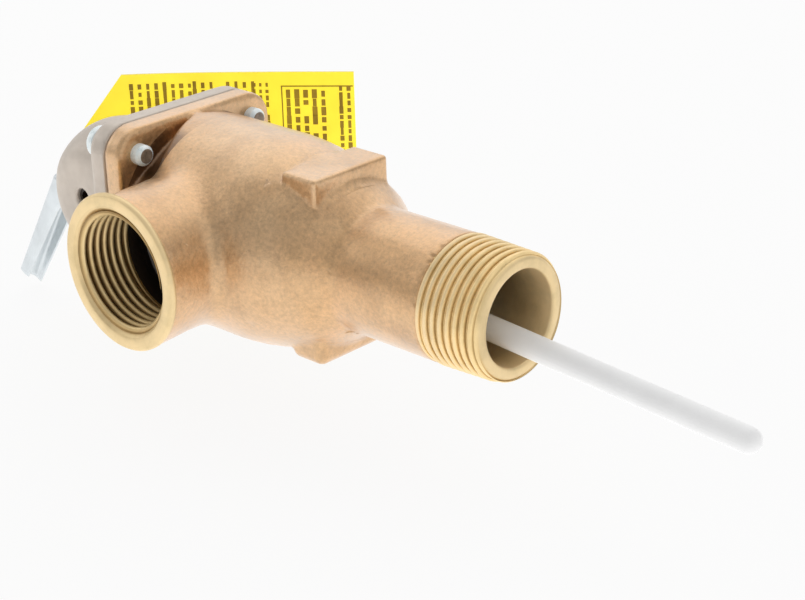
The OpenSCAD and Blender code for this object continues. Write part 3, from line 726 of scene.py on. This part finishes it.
# Outlines as (radius, height) about the stem axis, and the outlet's boss as (radius, reach) about its own
SHOULDER = [(13.1, 15), (13.1, 37.6), (17.0, 43.0), (18.4, 46.5), (19.75, 50.5), (21.0, 55.0), (21.95, 59.5),
            (22.4, 64.5), (22.4, 90.6), (0, 90.6), (0, 15)]
WATERWAY = [(0, -2), (9.65, -2), (9.65, 44), (6.35, 48), (6.35, 63), (0, 63)]
CHAMBER = [(6.4, 62), (7.4, 62), (9.4, 60.2), (9.8, 53), (14.2, 53), (16.8, 55.6), (16.8, 97), (0, 97),
           (0, 62)]
BOSS = [(0, 4), (16.0, 4), (15.9, 24), (16.3, 30), (16.45, 34.3), (0, 34.3)]
SHANK_END = 15.0
PAD_CENTRE, PAD_HALF = (0, 15.15, 48.15), (10.4, 5.0, 4.75)
PAD_EDGE_TOP, PAD_EDGE_LOW, PAD_FILLET = 0.8, 2.2, 1.1
FLANGE_EDGE, FLANGE_FILLET, RELIEF_EDGE, PAST_JOINT = 0.45, 0.9, 1.5, 1.2
BORE_R, BORE_START, THROAT_R, THROAT_START, PAST_OUTLET = 13.9, 17.5, 11.8, 8, 40


def screw_relief(x, y, z, r):
    """Hollow under the flange at each corner, open round the screw's end and sloped at its foot."""
    wall, wall_drop, width, fade, foot, foot_slope = 22.6, 3.3, 8.0, 6.0, 0.6, 0.363
    under = JOINT_Z - FLANGE_DEPTH
    wall = wall - wall_drop * np.clip((np.abs(y) - width) / fade, 0, 1)
    slope = foot + under - foot_slope * np.abs(x) - z
    return overlap(wall - r, z - under, slope, width - np.abs(y))


def cast_field(grid, fillet):
    """Distance to the casting's surface, in the valve's upright frame."""
    x, y, z = grid
    r = np.sqrt(x * x + y * y)
    body = outline_field(r, z, SHOULDER)
    from_outlet = circle_field(y, z, (0, OUTLET_Z), 0)
    body = blend_in(body, outline_field(from_outlet, x, BOSS), fillet)
    pad_edge = np.where(y > 0, PAD_EDGE_TOP, PAD_EDGE_LOW)
    body = blend_in(body, box_field(x, np.abs(y), z, PAD_CENTRE, PAD_HALF, pad_edge), PAD_FILLET)
    flange = slab(flange_field(x, y), z, JOINT_Z - FLANGE_DEPTH, JOINT_Z + PAST_JOINT, FLANGE_EDGE)
    body = blend_in(body, flange, FLANGE_FILLET)
    body = blend_cut(body, screw_relief(x, y, z, r), RELIEF_EDGE)
    body = overlap(body, z - JOINT_Z, SHANK_END - z)
    body = cut(cut(body, outline_field(r, z, WATERWAY)), outline_field(r, z, CHAMBER))
    bore = overlap(from_outlet - BORE_R, BORE_START - x, x - PAST_OUTLET)
    throat = overlap(from_outlet - THROAT_R, THROAT_START - x, x - PAST_OUTLET)
    return cut(body, np.minimum(bore, throat))


class RELIEFVALVE_OT_casting(bpy.types.Operator):
    """Cast body with blended boss, flange, pockets and wrench pads"""
    bl_idname = "relief_valve.casting"
    bl_label = "Cast body"

    def execute(self, context):
        s = context.scene.relief_valve_sizes
        step, fillet = 1000 * s.cast_grid, 1000 * s.cast_fillet
        low, high = (-23.5, -24.0, 13.5), (36.0, 24.0, 96.5)
        casting = add_skin("cast_body", "cast_bronze", cast_field(axes(low, high, step), fillet), low, step)
        # The pads' crisp corners are drawn again on a finer grid, just over the same shape
        foot, reach, proud = 13.6, 7.4, 0.015
        middle_y, middle_z, patch_half, patch_edge = 20.3, 48.0, (11.6, 6.0, 6.4), 2.0
        pads = []
        for name, side in (("wrench_pad_low", -1), ("wrench_pad_top", 1)):
            near, far = sorted((foot * side, (foot + reach) * side))
            low, high = (-12.2, near, 40.8), (12.2, far, 55.0)
            x, y, z = grid = axes(low, high, step / 2)
            patch = box_field(x, y, z, (0, side * middle_y, middle_z), patch_half, patch_edge)
            field = overlap(cast_field(grid, fillet) - proud, patch)
            pads.append(add_skin(name, "cast_bronze", field, low, step / 2))
        settle(casting, "valve_body", "cast_bronze", "body_casting")
        for pad in pads:
            settle(pad, "valve_body", "cast_bronze")
        return {"FINISHED"}


# ---- threads

# Nipple as (radius, height) from the inlet face: long end chamfer, tapering root and bored waterway
NIPPLE = [(9.65, 0.6), (9.75, 0.3), (10.0, 0.08), (10.4, 0.0), (11.4, 0.0), (11.8, 0.12), (12.15, 0.45),
          (12.3, 0.8), (12.74, 14.9), (12.75, 15.3), (12.65, 15.8), (12.3, 16.2), (12.0, 16.6), (9.65, 16.6)]
# Mouth as (radius, depth) from the outlet face: faced ring, countersink and root bore
MOUTH = [(13.7, 0.1), (13.85, 0.0), (16.0, 0.0), (16.3, 0.12), (16.6, 0.6), (16.6, 1.2), (14.6, 1.8),
         (14.0, 2.4), (14.0, 17.2), (12.4, 17.2), (12.4, 13.6), (12.8, 12.8), (12.95, 1.0), (13.1, 0.7)]


class RELIEFVALVE_OT_threads(bpy.types.Operator):
    """Machined inlet nipple and tapped outlet mouth, each with a helical thread"""
    bl_idname = "relief_valve.threads"
    bl_label = "Threads"

    def execute(self, context):
        s = context.scene.relief_valve_sizes
        pitch, depth = 1000 * s.thread_pitch, 1000 * s.thread_depth
        tree = thread_tree()
        core = add_solid("inlet_nipple", *lathe(NIPPLE), "inlet_brass")
        # Each ridge falls short of the full depth; the inlet's stands outwards and widens on a taper
        turns, taper, start, root_r, short = 8.35, 1 / 32, 0.15, 12.26, 0.70
        ridge = run_tree(tree, "inlet_thread", "inlet_brass", Turns=turns, Start_Radius=root_r / 1000,
                         End_Radius=(root_r + taper * turns * pitch) / 1000, Height=turns * pitch / 1000,
                         Depth=-(depth - short) / 1000, Base=0.00178, Crest=0.00030)
        ridge.data.transform(UPRIGHT @ Matrix.Translation((0, 0, start / 1000)))
        points, faces = lathe(MOUTH)
        points = np.column_stack([OUTLET_FACE - points[:, 2], points[:, 1], OUTLET_Z + points[:, 0]])
        ring = add_solid("outlet_mouth", points, faces, "outlet_brass")
        turns, start, short = 6.8, 0.3, 0.15
        inner = run_tree(tree, "outlet_thread", "outlet_brass", Turns=turns, Start_Radius=0.01298,
                         End_Radius=0.01280, Height=turns * pitch / 1000, Depth=(depth - short) / 1000,
                         Base=0.00174, Crest=0.00040)
        # The ridge's own z runs from the mouth inwards, along the frame's +Y
        mouth = Matrix.Translation((-OUTLET_Z / 1000, (start - OUTLET_FACE) / 1000, 0))
        inner.data.transform(mouth @ Matrix.Rotation(radians(-90), 4, "X"))
        for piece in (core, ridge, ring, inner):
            settle(piece, "valve_body", "turned_brass")
        return {"FINISHED"}


# ---- bonnet and screws

class RELIEFVALVE_OT_bonnet(bpy.types.Operator):
    """Pressed lid and hood with soft bends, lever slot and pivot hole"""
    bl_idname = "relief_valve.bonnet"
    bl_label = "Bonnet"

    def execute(self, context):
        step = 0.42
        low, high = (-22.4, -23.8, JOINT_Z - 0.8), (22.4, 23.8, 132.4)
        x, y, z = axes(low, high, step)
        lid_edge, hood_edge, hood_edge_in, join, slot_edge, hole_edge = 3.2, 2.4, 1.4, 3.4, 0.5, 0.3
        overrun, overrun_in, foot_gap, screw_hole_r = 4, 6, 0.16, 2.6
        lid = slab(flange_field(x, y), z, JOINT_Z - overrun, LID_TOP, lid_edge)
        v = y - HOOD_Y
        r = np.sqrt(x * x + v * v)
        dome = np.where(z > DOME_Z, np.sqrt(r * r + (z - DOME_Z) ** 2), r) - HOOD_R
        hood = overlap(blend_common(dome, np.abs(x) - HOOD_HALF, hood_edge), LID_TOP - overrun - z)
        # The inside follows one sheet's thickness in
        hollow = blend_common(dome + SHEET, np.abs(x) - (HOOD_HALF - SHEET), hood_edge_in)
        hollow = overlap(hollow, LID_TOP - overrun_in - z)
        inside = np.minimum(overlap(lid + SHEET, z - LID_TOP + SHEET), hollow)
        shell = overlap(cut(blend_in(lid, hood, join), inside), JOINT_Z + foot_gap - z)
        # The lever's slot opens as a wedge about the dome's centre
        far, slot_half = 26.0, 4.2
        back, front = radians(43.5), radians(118)
        wedge = [(0, DOME_Z), (far * cos(back), DOME_Z + far * sin(back)), (0, DOME_Z + far),
                 (far * cos(front), DOME_Z + far * sin(front))]
        shell = blend_cut(shell, overlap(outline_field(v, z, wedge), np.abs(x) - slot_half), slot_edge)
        shell = blend_cut(shell, circle_field(y, z, PIVOT, PIN_HOLE_R) + 0 * x, hole_edge)
        screw_hole = circle_field(np.abs(x), np.abs(y), SCREWS, screw_hole_r)
        shell = cut(shell, overlap(screw_hole, z - LID_TOP - 2))
        piece = add_skin("bonnet_pressing", "bonnet_steel", shell, low, step)
        settle(piece, "valve_body", "bonnet_steel", "bonnet")
        return {"FINISHED"}


def screw_field(x, y, z, end, head):
    """Pan head screw along z from its chamfered end to its cross recessed head."""
    shank_r, thread_pitch, thread_len, thread_cut = 2.3, 0.8, 6.0, 0.175
    head_r, head_depth, head_edge, dome_r, dome_drop, flatten = 3.6, 3.0, 1.0, 6.3, 5.0, 1.6
    tip_r, tip_len, shank_in = 2.35, 0.75, 1.5
    slot_half, slot_reach, slot_depth, slot_taper = 0.5, 2.1, 1.8, 0.15
    r = np.sqrt(x * x + y * y)
    ridge = np.abs(((z / thread_pitch - np.arctan2(y, x) / tau) % 1.0) - 0.5)
    chamfer = (r - tip_r + (end + tip_len - z)) * 0.707
    side = r - np.where(z < end + thread_len, shank_r - ridge * thread_cut, shank_r)
    shank = overlap(side, end - z, chamfer, z - head + shank_in)
    dome = np.sqrt(r * r + (z - head + dome_drop) ** 2 * flatten) - dome_r
    cap = overlap(blend_common(r - head_r, dome, head_edge), head - head_depth - z, z - head)
    cross = np.minimum(overlap(np.abs(x) - slot_half, np.abs(y) - slot_reach),
                       overlap(np.abs(y) - slot_half, np.abs(x) - slot_reach))
    recess = overlap(cross + slot_taper * (head - z), head - slot_depth - z)
    return np.minimum(shank, cut(cap, recess))


class RELIEFVALVE_OT_screws(bpy.types.Operator):
    """Four pan head screws with cross recesses and threaded ends"""
    bl_idname = "relief_valve.screws"
    bl_label = "Bonnet screws"

    def execute(self, context):
        low_end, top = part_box("bonnet_screws")[1].x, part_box("bonnet_screws")[0].x
        end, head = -1000 * low_end, -1000 * top
        step, half = 0.16, 4.4
        low = (-half, -half, end - 0.5)
        x, y, z = axes(low, (half, half, head + 0.5), step)
        points, faces = field_mesh(screw_field(x, y, z, end, head), low, step, 0.05)
        one = add_mesh("one_screw", points / 1000, faces, finish("zinc_steel"))
        piece = run_tree(square_tree(), "bonnet_screw_set", "screw_steel", Fastener=one,
                         Spacing_X=2 * SCREWS[0] / 1000, Spacing_Y=2 * SCREWS[1] / 1000)
        bpy.data.objects.remove(one)
        piece.data.transform(UPRIGHT)
        settle(piece, "valve_body", "zinc_steel", "bonnet_screws")
        return {"FINISHED"}


# ---- spring and lever

class RELIEFVALVE_OT_spring(bpy.types.Operator):
    """Main spring with closed end turns"""
    bl_idname = "relief_valve.spring"
    bl_label = "Main spring"

    def execute(self, context):
        turns = context.scene.relief_valve_sizes.spring_turns
        low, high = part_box("main_spring")
        wire, coil_r = 0.0011, 0.009
        length = high.x - low.x
        piece = run_tree(coil_tree(), "spring_wire", "spring_steel", Turns=turns, Radius=coil_r, Wire=wire,
                         Rise=length - 2 * wire, End_Rise=2 * wire)
        piece.data.transform(Matrix.Translation((high.x - wire, 0, 0)) @ UPRIGHT)
        settle(piece, "valve_body", "spring_steel", "main_spring")
        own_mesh(piece)
        return {"FINISHED"}


def cam_outline(pivot):
    """Lifting cam: a hook round the pivot whose inner edge climbs by the stem's lift as the lever turns."""
    # Its thickness grows by a millimetre in each "gain" degrees
    reach, thick, gain = 13.3, 2.4, 60
    rise = STEM_LIFT / LEVER_TURN

    def spiral(a, more):
        return pivot + (reach - rise * a + more) * np.array((sin(radians(a)), -cos(radians(a))))

    inner = [spiral(a, 0) for a in range(-6, 75, 4)]
    outer = [spiral(a, thick + a / gain) for a in range(98, -7, -4)]
    return inner + [pivot] + outer


class RELIEFVALVE_OT_lever(bpy.types.Operator):
    """Channel-section test lever with soft bends and its lifting cams"""
    bl_idname = "relief_valve.lever"
    bl_label = "Test lever"

    def execute(self, context):
        step = 0.24
        low, high = (-4.2, -38.5, 98.9), (4.2, 13.0, 162.0)
        x, y, z = axes(low, high, step)
        # u runs down the handle and v across it, from start at its bend
        slope = radians(32.4)
        u, v = np.array((-cos(slope), sin(slope))), np.array((-sin(slope), -cos(slope)))
        start, pivot = np.array((-2.7, 139.3)), np.array(PIVOT)
        length, extra, tail, root = 32.0, 6.2, 2.8, 5.0
        half, sheet, ear_r, ear_fillet, edge, edge_in = 3.6, 1.2, 5.0, 2.0, 1.3, 0.9
        end = start + (length + extra) * u
        side = [pivot + (4, 3), pivot + (-0.6, 13.0), pivot + (-2.2, 17.2), start - 1.2 * u, end,
                end + tail * v, start + 7.5 * u + (root - 0.35) * v, start + 4.0 * u + (root + 0.3) * v,
                pivot + (-6.6, 12.5), pivot + (-4.7, 1.6)]
        plate = blend_in(outline_field(y, z, side), circle_field(y, z, pivot, ear_r), ear_fillet)
        plate = np.minimum(plate, outline_field(y, z, cam_outline(pivot)))
        solid = blend_common(plate, np.abs(x) - half, edge)
        # The channel is open on its under side and at its end
        past = start + (length + extra + 9) * u
        channel = [pivot + (14, -20), pivot + (14, 11), pivot + (-2.6, 14.2), start - 0.4 * u + sheet * v,
                   past + sheet * v, past + 20 * v, pivot + (-14, -20)]
        hollow = blend_common(outline_field(y, z, channel), np.abs(x) - (half - sheet), edge_in)
        along = (y - start[0]) * u[0] + (z - start[1]) * u[1]
        slant = (along - length - extra * (half - x) / (2 * half)) * 0.85
        solid = cut(overlap(cut(solid, hollow), slant), circle_field(y, z, pivot, PIN_HOLE_R))
        piece = add_skin("lever_channel", "lever_steel", solid, low, step, 0.03)
        settle(piece, "test_lever", "zinc_steel", "lever")
        return {"FINISHED"}


# ---- tag and wire

def on_tag(u, v, w, curl=TAG_CURL):
    """Point of the gently waved tag: u away from the hole, v up, w to the front; curl bows its free end."""
    yaw = radians(TAG_YAW)
    near = np.array((TAG_X, TAG_TOP - TAG_HALF, (TAG_PLANE + TAG_X * cos(yaw)) / sin(yaw)))
    along, front = np.array((-sin(yaw), 0, -cos(yaw))), np.array((cos(yaw), 0, -sin(yaw)))
    wave = (TAG_WAVE[0] * u + TAG_WAVE[1] * u ** 2 + TAG_WAVE[2] * u ** 3) * curl / TAG_CURL
    return near + u * along + v * np.array((0, 1, 0)) + (w + wave) * front


def tag_sheet(curl):
    """Card between its edge and its hole's rim, as rings of points on both sides."""
    cut_u, cut_v = TAG_CHAMFER[0], TAG_HALF - TAG_CHAMFER[1]
    corners = [(0, cut_v), (cut_u, TAG_HALF), (TAG_LENGTH, TAG_HALF), (TAG_LENGTH, -TAG_HALF),
               (cut_u, -TAG_HALF), (0, -cut_v)]
    edge = []
    for i in range(6):
        a, b = np.array(corners[i]), np.array(corners[(i + 1) % 6])
        n = max(2, int(np.linalg.norm(b - a) / 2))
        edge += [tuple(a + (b - a) * k / n) for k in range(n)]
    angles = [np.arctan2(v, u - TAG_HOLE) for u, v in edge]
    rim = [(TAG_HOLE + TAG_HOLE_R * cos(a), TAG_HOLE_R * sin(a)) for a in angles]
    rows, steps, crowding = 30, len(edge), 1.4
    points, faces = [], []
    for w in (TAG_HALF_THICK, -TAG_HALF_THICK):
        for k in range(rows + 1):
            f = (k / rows) ** crowding
            points += [on_tag(u0 + (u1 - u0) * f, v0 + (v1 - v0) * f, w, curl)
                       for (u0, v0), (u1, v1) in zip(rim, edge)]
    block, last = (rows + 1) * steps, rows * steps
    pairs = [(i, (i + 1) % steps) for i in range(steps)]
    for k in range(0, last, steps):
        for i, j in pairs:
            a, b, c, d = k + i, k + j, k + steps + j, k + steps + i
            faces += [(a, b, c, d), (block + d, block + c, block + b, block + a)]
    for i, j in pairs:
        faces += [(block + i, block + j, j, i), (last + i, last + j, block + last + j, block + last + i)]
    card = add_solid("tag_sheet", points, faces, "tag_card", smooth=False)
    # The printed side, whose faces look towards the inlet, gets the painted glow
    through = card.data.attributes.new("through", "FLOAT", "FACE")
    for face in card.data.polygons:
        through.data[face.index].value = 1.0 if face.normal.x > 0 else 0.0
    return card


# Middle, columns, pitch, bar width, bar length, height, rows, seed, shift: like lines of print on end
BLOCKS = [(19.2, 8, 1.95, 0.95, 1.9, 40.0, 22, 3, 0.0), (34.0, 8, 1.95, 0.95, 1.9, 40.0, 22, 5, 0.0),
          (42.6, 3, 1.5, 0.8, 1.5, 40.0, 26, 7, 0.0), (53.1, 5, 2.05, 1.15, 2.1, 36.0, 18, 9, -0.2),
          (62.25, 2, 1.85, 0.95, 1.7, 38.0, 23, 12, 0.0)]
# Corners of the thin frame lines round the last bars
FRAME_LINES = [((47.4, -20.6), (47.7, 19.8)), ((47.4, 19.5), (64.2, 19.8)), ((47.4, -20.6), (64.2, -20.3))]
INK, INK_ROOT = 0.04, -0.02


def tag_print(tree, number, block, curl):
    """One block of bars, bent onto the tag's front."""
    u, columns, pitch, width, bar, height, rows, seed, v = block
    piece = run_tree(tree, f"tag_print_{number}", "tag_ink", Width=pitch * (columns - 1) / 1000,
                     Height=height / 1000, Columns=columns, Rows=rows, Bar_Width=width / 1000,
                     Bar_Length=bar / 1000, Ink=INK / 1000, Seed=seed)
    flat = np.array([p.co for p in piece.data.vertices]) * 1000
    placed = lay([on_tag(u + a, v + b, TAG_HALF_THICK + c, curl) for a, b, c in flat])
    piece.data.vertices.foreach_set("co", placed.ravel())
    piece.data.update()
    return piece


def tag_frame_lines(curl, steps=12):
    """Thin printed lines as shallow bars that follow the tag's wave."""
    points, faces = [], []
    for (u0, v0), (u1, v1) in FRAME_LINES:
        base = len(points)
        for f in [k / steps for k in range(steps + 1)]:
            if u1 - u0 > v1 - v0:
                pair = [(u0 + (u1 - u0) * f, v) for v in (v0, v1)]
            else:
                pair = [(u, v0 + (v1 - v0) * f) for u in (u0, u1)]
            points += [on_tag(u, v, TAG_HALF_THICK + w, curl) for w in (INK_ROOT, INK) for u, v in pair]
        end = base + 4 * steps
        for p in range(base, end, 4):
            q = p + 4
            faces += [(p, q, q + 1, p + 1), (p + 2, p + 3, q + 3, q + 2), (p, p + 2, q + 2, q),
                      (p + 1, q + 1, q + 3, p + 3)]
        faces += [(base, base + 1, base + 3, base + 2), (end, end + 2, end + 3, end + 1)]
    return add_mesh("tag_frame_lines", lay(points), faces, finish("tag_ink"), smooth=False)


class RELIEFVALVE_OT_tag(bpy.types.Operator):
    """Hang tag with chamfered corners, eyelet hole, frame lines and generic printed bars"""
    bl_idname = "relief_valve.tag"
    bl_label = "Hang tag"

    def execute(self, context):
        curl = 1000 * context.scene.relief_valve_sizes.tag_curl
        settle(tag_sheet(curl), "hang_tag", "tag_card", "tag")
        tree = bars_tree()
        for number, block in enumerate(BLOCKS, 1):
            settle(tag_print(tree, number, block, curl), "hang_tag", "tag_card")
        settle(tag_frame_lines(curl), "hang_tag", "tag_card")
        return {"FINISHED"}


class RELIEFVALVE_OT_wire(bpy.types.Operator):
    """Wire with an eye round the pivot pin and a ring through the tag's hole"""
    bl_idname = "relief_valve.wire"
    bl_label = "Tag wire"

    def execute(self, context):
        loop = WIRE_LOOP_R
        eye = [(WIRE_EYE_X, PIVOT[0] + loop * cos(a), PIVOT[1] + loop * sin(a))
               for a in np.radians(np.arange(-325, -4, 7.5))]
        a = np.array((WIRE_EYE_X, PIVOT[0] + loop, PIVOT[1]))
        middle = TAG_HOLE - loop
        d = on_tag(middle, 0, loop)
        # How the curve between the two leaves the eye and how it arrives at the ring
        leave, arrive = (-1.65, 0, 12), (4.15, 0, 4.33)
        b, c = a + leave, d - arrive
        run = [(1 - t) ** 3 * a + 3 * t * (1 - t) ** 2 * b + 3 * t * t * (1 - t) * c + t ** 3 * d
               for t in np.arange(0, 0.98, 0.04)]
        ring = [on_tag(middle + loop * cos(w), 0, loop * sin(w)) for w in np.radians(np.arange(90, 416, 7.5))]
        points, faces = sweep(eye + run + ring, WIRE_R)
        piece = add_solid("tag_wire_bent", points, faces, "spring_steel")
        settle(piece, "wire", "spring_steel", "tag_wire")
        return {"FINISHED"}


# ---- finishes and stage

# Nodes of the solids, by look
NODE_FINISH = {
    "zinc_steel": ("stem_guide_plate", "spring_cup", "disc_washer", "disc_screw", "lift_collar",
                   "lever_spacers", "thermostat_cage", "bonnet_screws"),
    "turned_brass": ("stem", "disc_holder", "thermostat_head"),
    "spring_steel": ("stem_clip", "thermostat_piston", "main_spring", "tag_wire"),
    "gasket": ("bonnet_gasket", "piston_seal"), "seat_rubber": ("seat_disc",), "pin_steel": ("pivot_pin",),
    "copper": ("thermostat_tube",), "wax": ("thermostat_wax",), "white_plastic": ("probe_coating",),
    "cast_bronze": ("body_casting",), "bonnet_steel": ("bonnet",), "lever_steel": ("lever",),
    "tag_card": ("tag",),
}


class RELIEFVALVE_OT_finishes(bpy.types.Operator):
    """Procedural finishes on the solids that stay as they are"""
    bl_idname = "relief_valve.finishes"
    bl_label = "Finishes"

    def execute(self, context):
        for look, names in NODE_FINISH.items():
            for name in names:
                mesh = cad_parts[name].data
                mesh.materials.clear()
                mesh.materials.append(finish(look))
        return {"FINISHED"}


def camera_rays(tree):
    """1 for what the camera sees directly, 0 for light and reflections."""
    return put(tree, "ShaderNodeLightPath").outputs["Is Camera Ray"]


def pale_floor():
    """Floor material: mostly its own light, a little less of it towards the camera."""
    material = bpy.data.materials.new("pale_floor")
    material.use_nodes = True
    tree = material.node_tree
    tree.nodes.clear()
    glow, less_seen, lit_share = 1.25, -0.25, 0.90
    plain = put(tree, "ShaderNodeBsdfDiffuse", Color=(0.80, 0.80, 0.80, 1))
    strength = calc(tree, "MULTIPLY_ADD", camera_rays(tree), less_seen, glow)
    white = put(tree, "ShaderNodeEmission", Strength=strength)
    mix = put(tree, "ShaderNodeMixShader", lit_share, plain.outputs[0], white.outputs[0])
    put(tree, "ShaderNodeOutputMaterial", mix.outputs[0])
    return material


def surroundings():
    """White world to the camera; to the valve bright behind, softer overhead, dim on the viewer's side."""
    world = bpy.data.worlds.new("surroundings")
    world.use_nodes = True
    tree = world.node_tree
    tree.nodes.clear()
    behind = (-0.55, 0.62, 0.55)
    greys = [(0.0, 0.50), (0.15, 0.50), (0.35, 0.56), (0.60, 0.72), (0.85, 0.90)]
    way = put(tree, "ShaderNodeTexCoord").outputs["Generated"]
    shade = ramp(tree, facing(tree, way, behind), [(at, grey(tone)) for at, tone in greys])
    dim = put(tree, "ShaderNodeBackground", Color=shade, Strength=1.0)
    bright = put(tree, "ShaderNodeBackground", Color=(1, 1, 1, 1), Strength=1.0)
    mix = put(tree, "ShaderNodeMixShader", camera_rays(tree), dim.outputs[0], bright.outputs[0])
    put(tree, "ShaderNodeOutputWorld", mix.outputs[0])
    return world


class RELIEFVALVE_OT_stage(bpy.types.Operator):
    """Pale floor, white surroundings, soft lamps and the camera"""
    bl_idname = "relief_valve.stage"
    bl_label = "Stage"

    def execute(self, context):
        scene = context.scene
        scene.view_settings.view_transform = "Standard"
        floor_z, reach = cad_low.z - 0.0005, 3
        corners = [(x * reach, y * reach, floor_z) for x, y in ((-1, -1), (1, -1), (1, 1), (-1, 1))]
        floor = add_mesh("floor", corners, [(0, 1, 2, 3)], pale_floor())
        scene.world = surroundings()
        # Name, place from the valve's middle, size in metres, watts
        middle = Vector((-0.06, 0, 0))
        lamps = [("key", (-0.30, 0.45, 0.70), 1.2, 2.0), ("left", (-0.75, -0.30, 0.35), 0.45, 0.5),
                 ("right", (0.70, 0.05, 0.55), 1.1, 1.2)]
        for name, at, size, power in lamps:
            lamp = bpy.data.lights.new(name, "AREA")
            lamp.size, lamp.energy = size, power
            holder = link(name, lamp)
            holder.location = Vector(at) + middle
            holder.rotation_euler = (middle - holder.location).to_track_quat("-Z", "Y").to_euler()
        camera = bpy.data.cameras.new("camera")
        camera.sensor_width, camera.lens = 36.0, 83.29
        camera.clip_start, camera.clip_end = 0.01, 20
        place = (0.20298, -0.24562, 0.14277)
        right, up, back = (0.732, 0.681, -0.024), (-0.256, 0.307, 0.917), (0.632, -0.665, 0.399)
        turn = Matrix((right, up, back)).transposed().to_4x4()
        scene.camera = link("camera", camera)
        scene.camera.matrix_world = Matrix.Translation(place) @ turn
        return {"FINISHED"}


STEPS = ["stage", "finishes", "casting", "threads", "bonnet", "screws", "spring", "lever", "tag", "wire"]


class RELIEFVALVE_PT_panel(bpy.types.Panel):
    bl_idname = "RELIEFVALVE_PT_panel"
    bl_label = "Relief Valve"
    bl_space_type = "VIEW_3D"
    bl_region_type = "UI"
    bl_category = "Relief Valve"

    def draw(self, context):
        for group in (context.scene.relief_valve_sizes, context.scene.relief_valve_colours):
            for name in group.__annotations__:
                self.layout.prop(group, name)
        for step in STEPS:
            self.layout.operator("relief_valve." + step)


CLASSES = [ReliefValveSizes, ReliefValveColours, RELIEFVALVE_OT_casting, RELIEFVALVE_OT_threads,
           RELIEFVALVE_OT_bonnet, RELIEFVALVE_OT_screws, RELIEFVALVE_OT_spring, RELIEFVALVE_OT_lever,
           RELIEFVALVE_OT_tag, RELIEFVALVE_OT_wire, RELIEFVALVE_OT_finishes, RELIEFVALVE_OT_stage,
           RELIEFVALVE_PT_panel]


def register():
    for cls in CLASSES:
        bpy.utils.register_class(cls)
    bpy.types.Scene.relief_valve_sizes = bpy.props.PointerProperty(type=ReliefValveSizes)
    bpy.types.Scene.relief_valve_colours = bpy.props.PointerProperty(type=ReliefValveColours)


def unregister():
    del bpy.types.Scene.relief_valve_colours
    del bpy.types.Scene.relief_valve_sizes
    for cls in reversed(CLASSES):
        bpy.utils.unregister_class(cls)


def main():
    register()
    for step in STEPS:
        getattr(bpy.ops.relief_valve, step)()


if __name__ == "__main__":
    main()
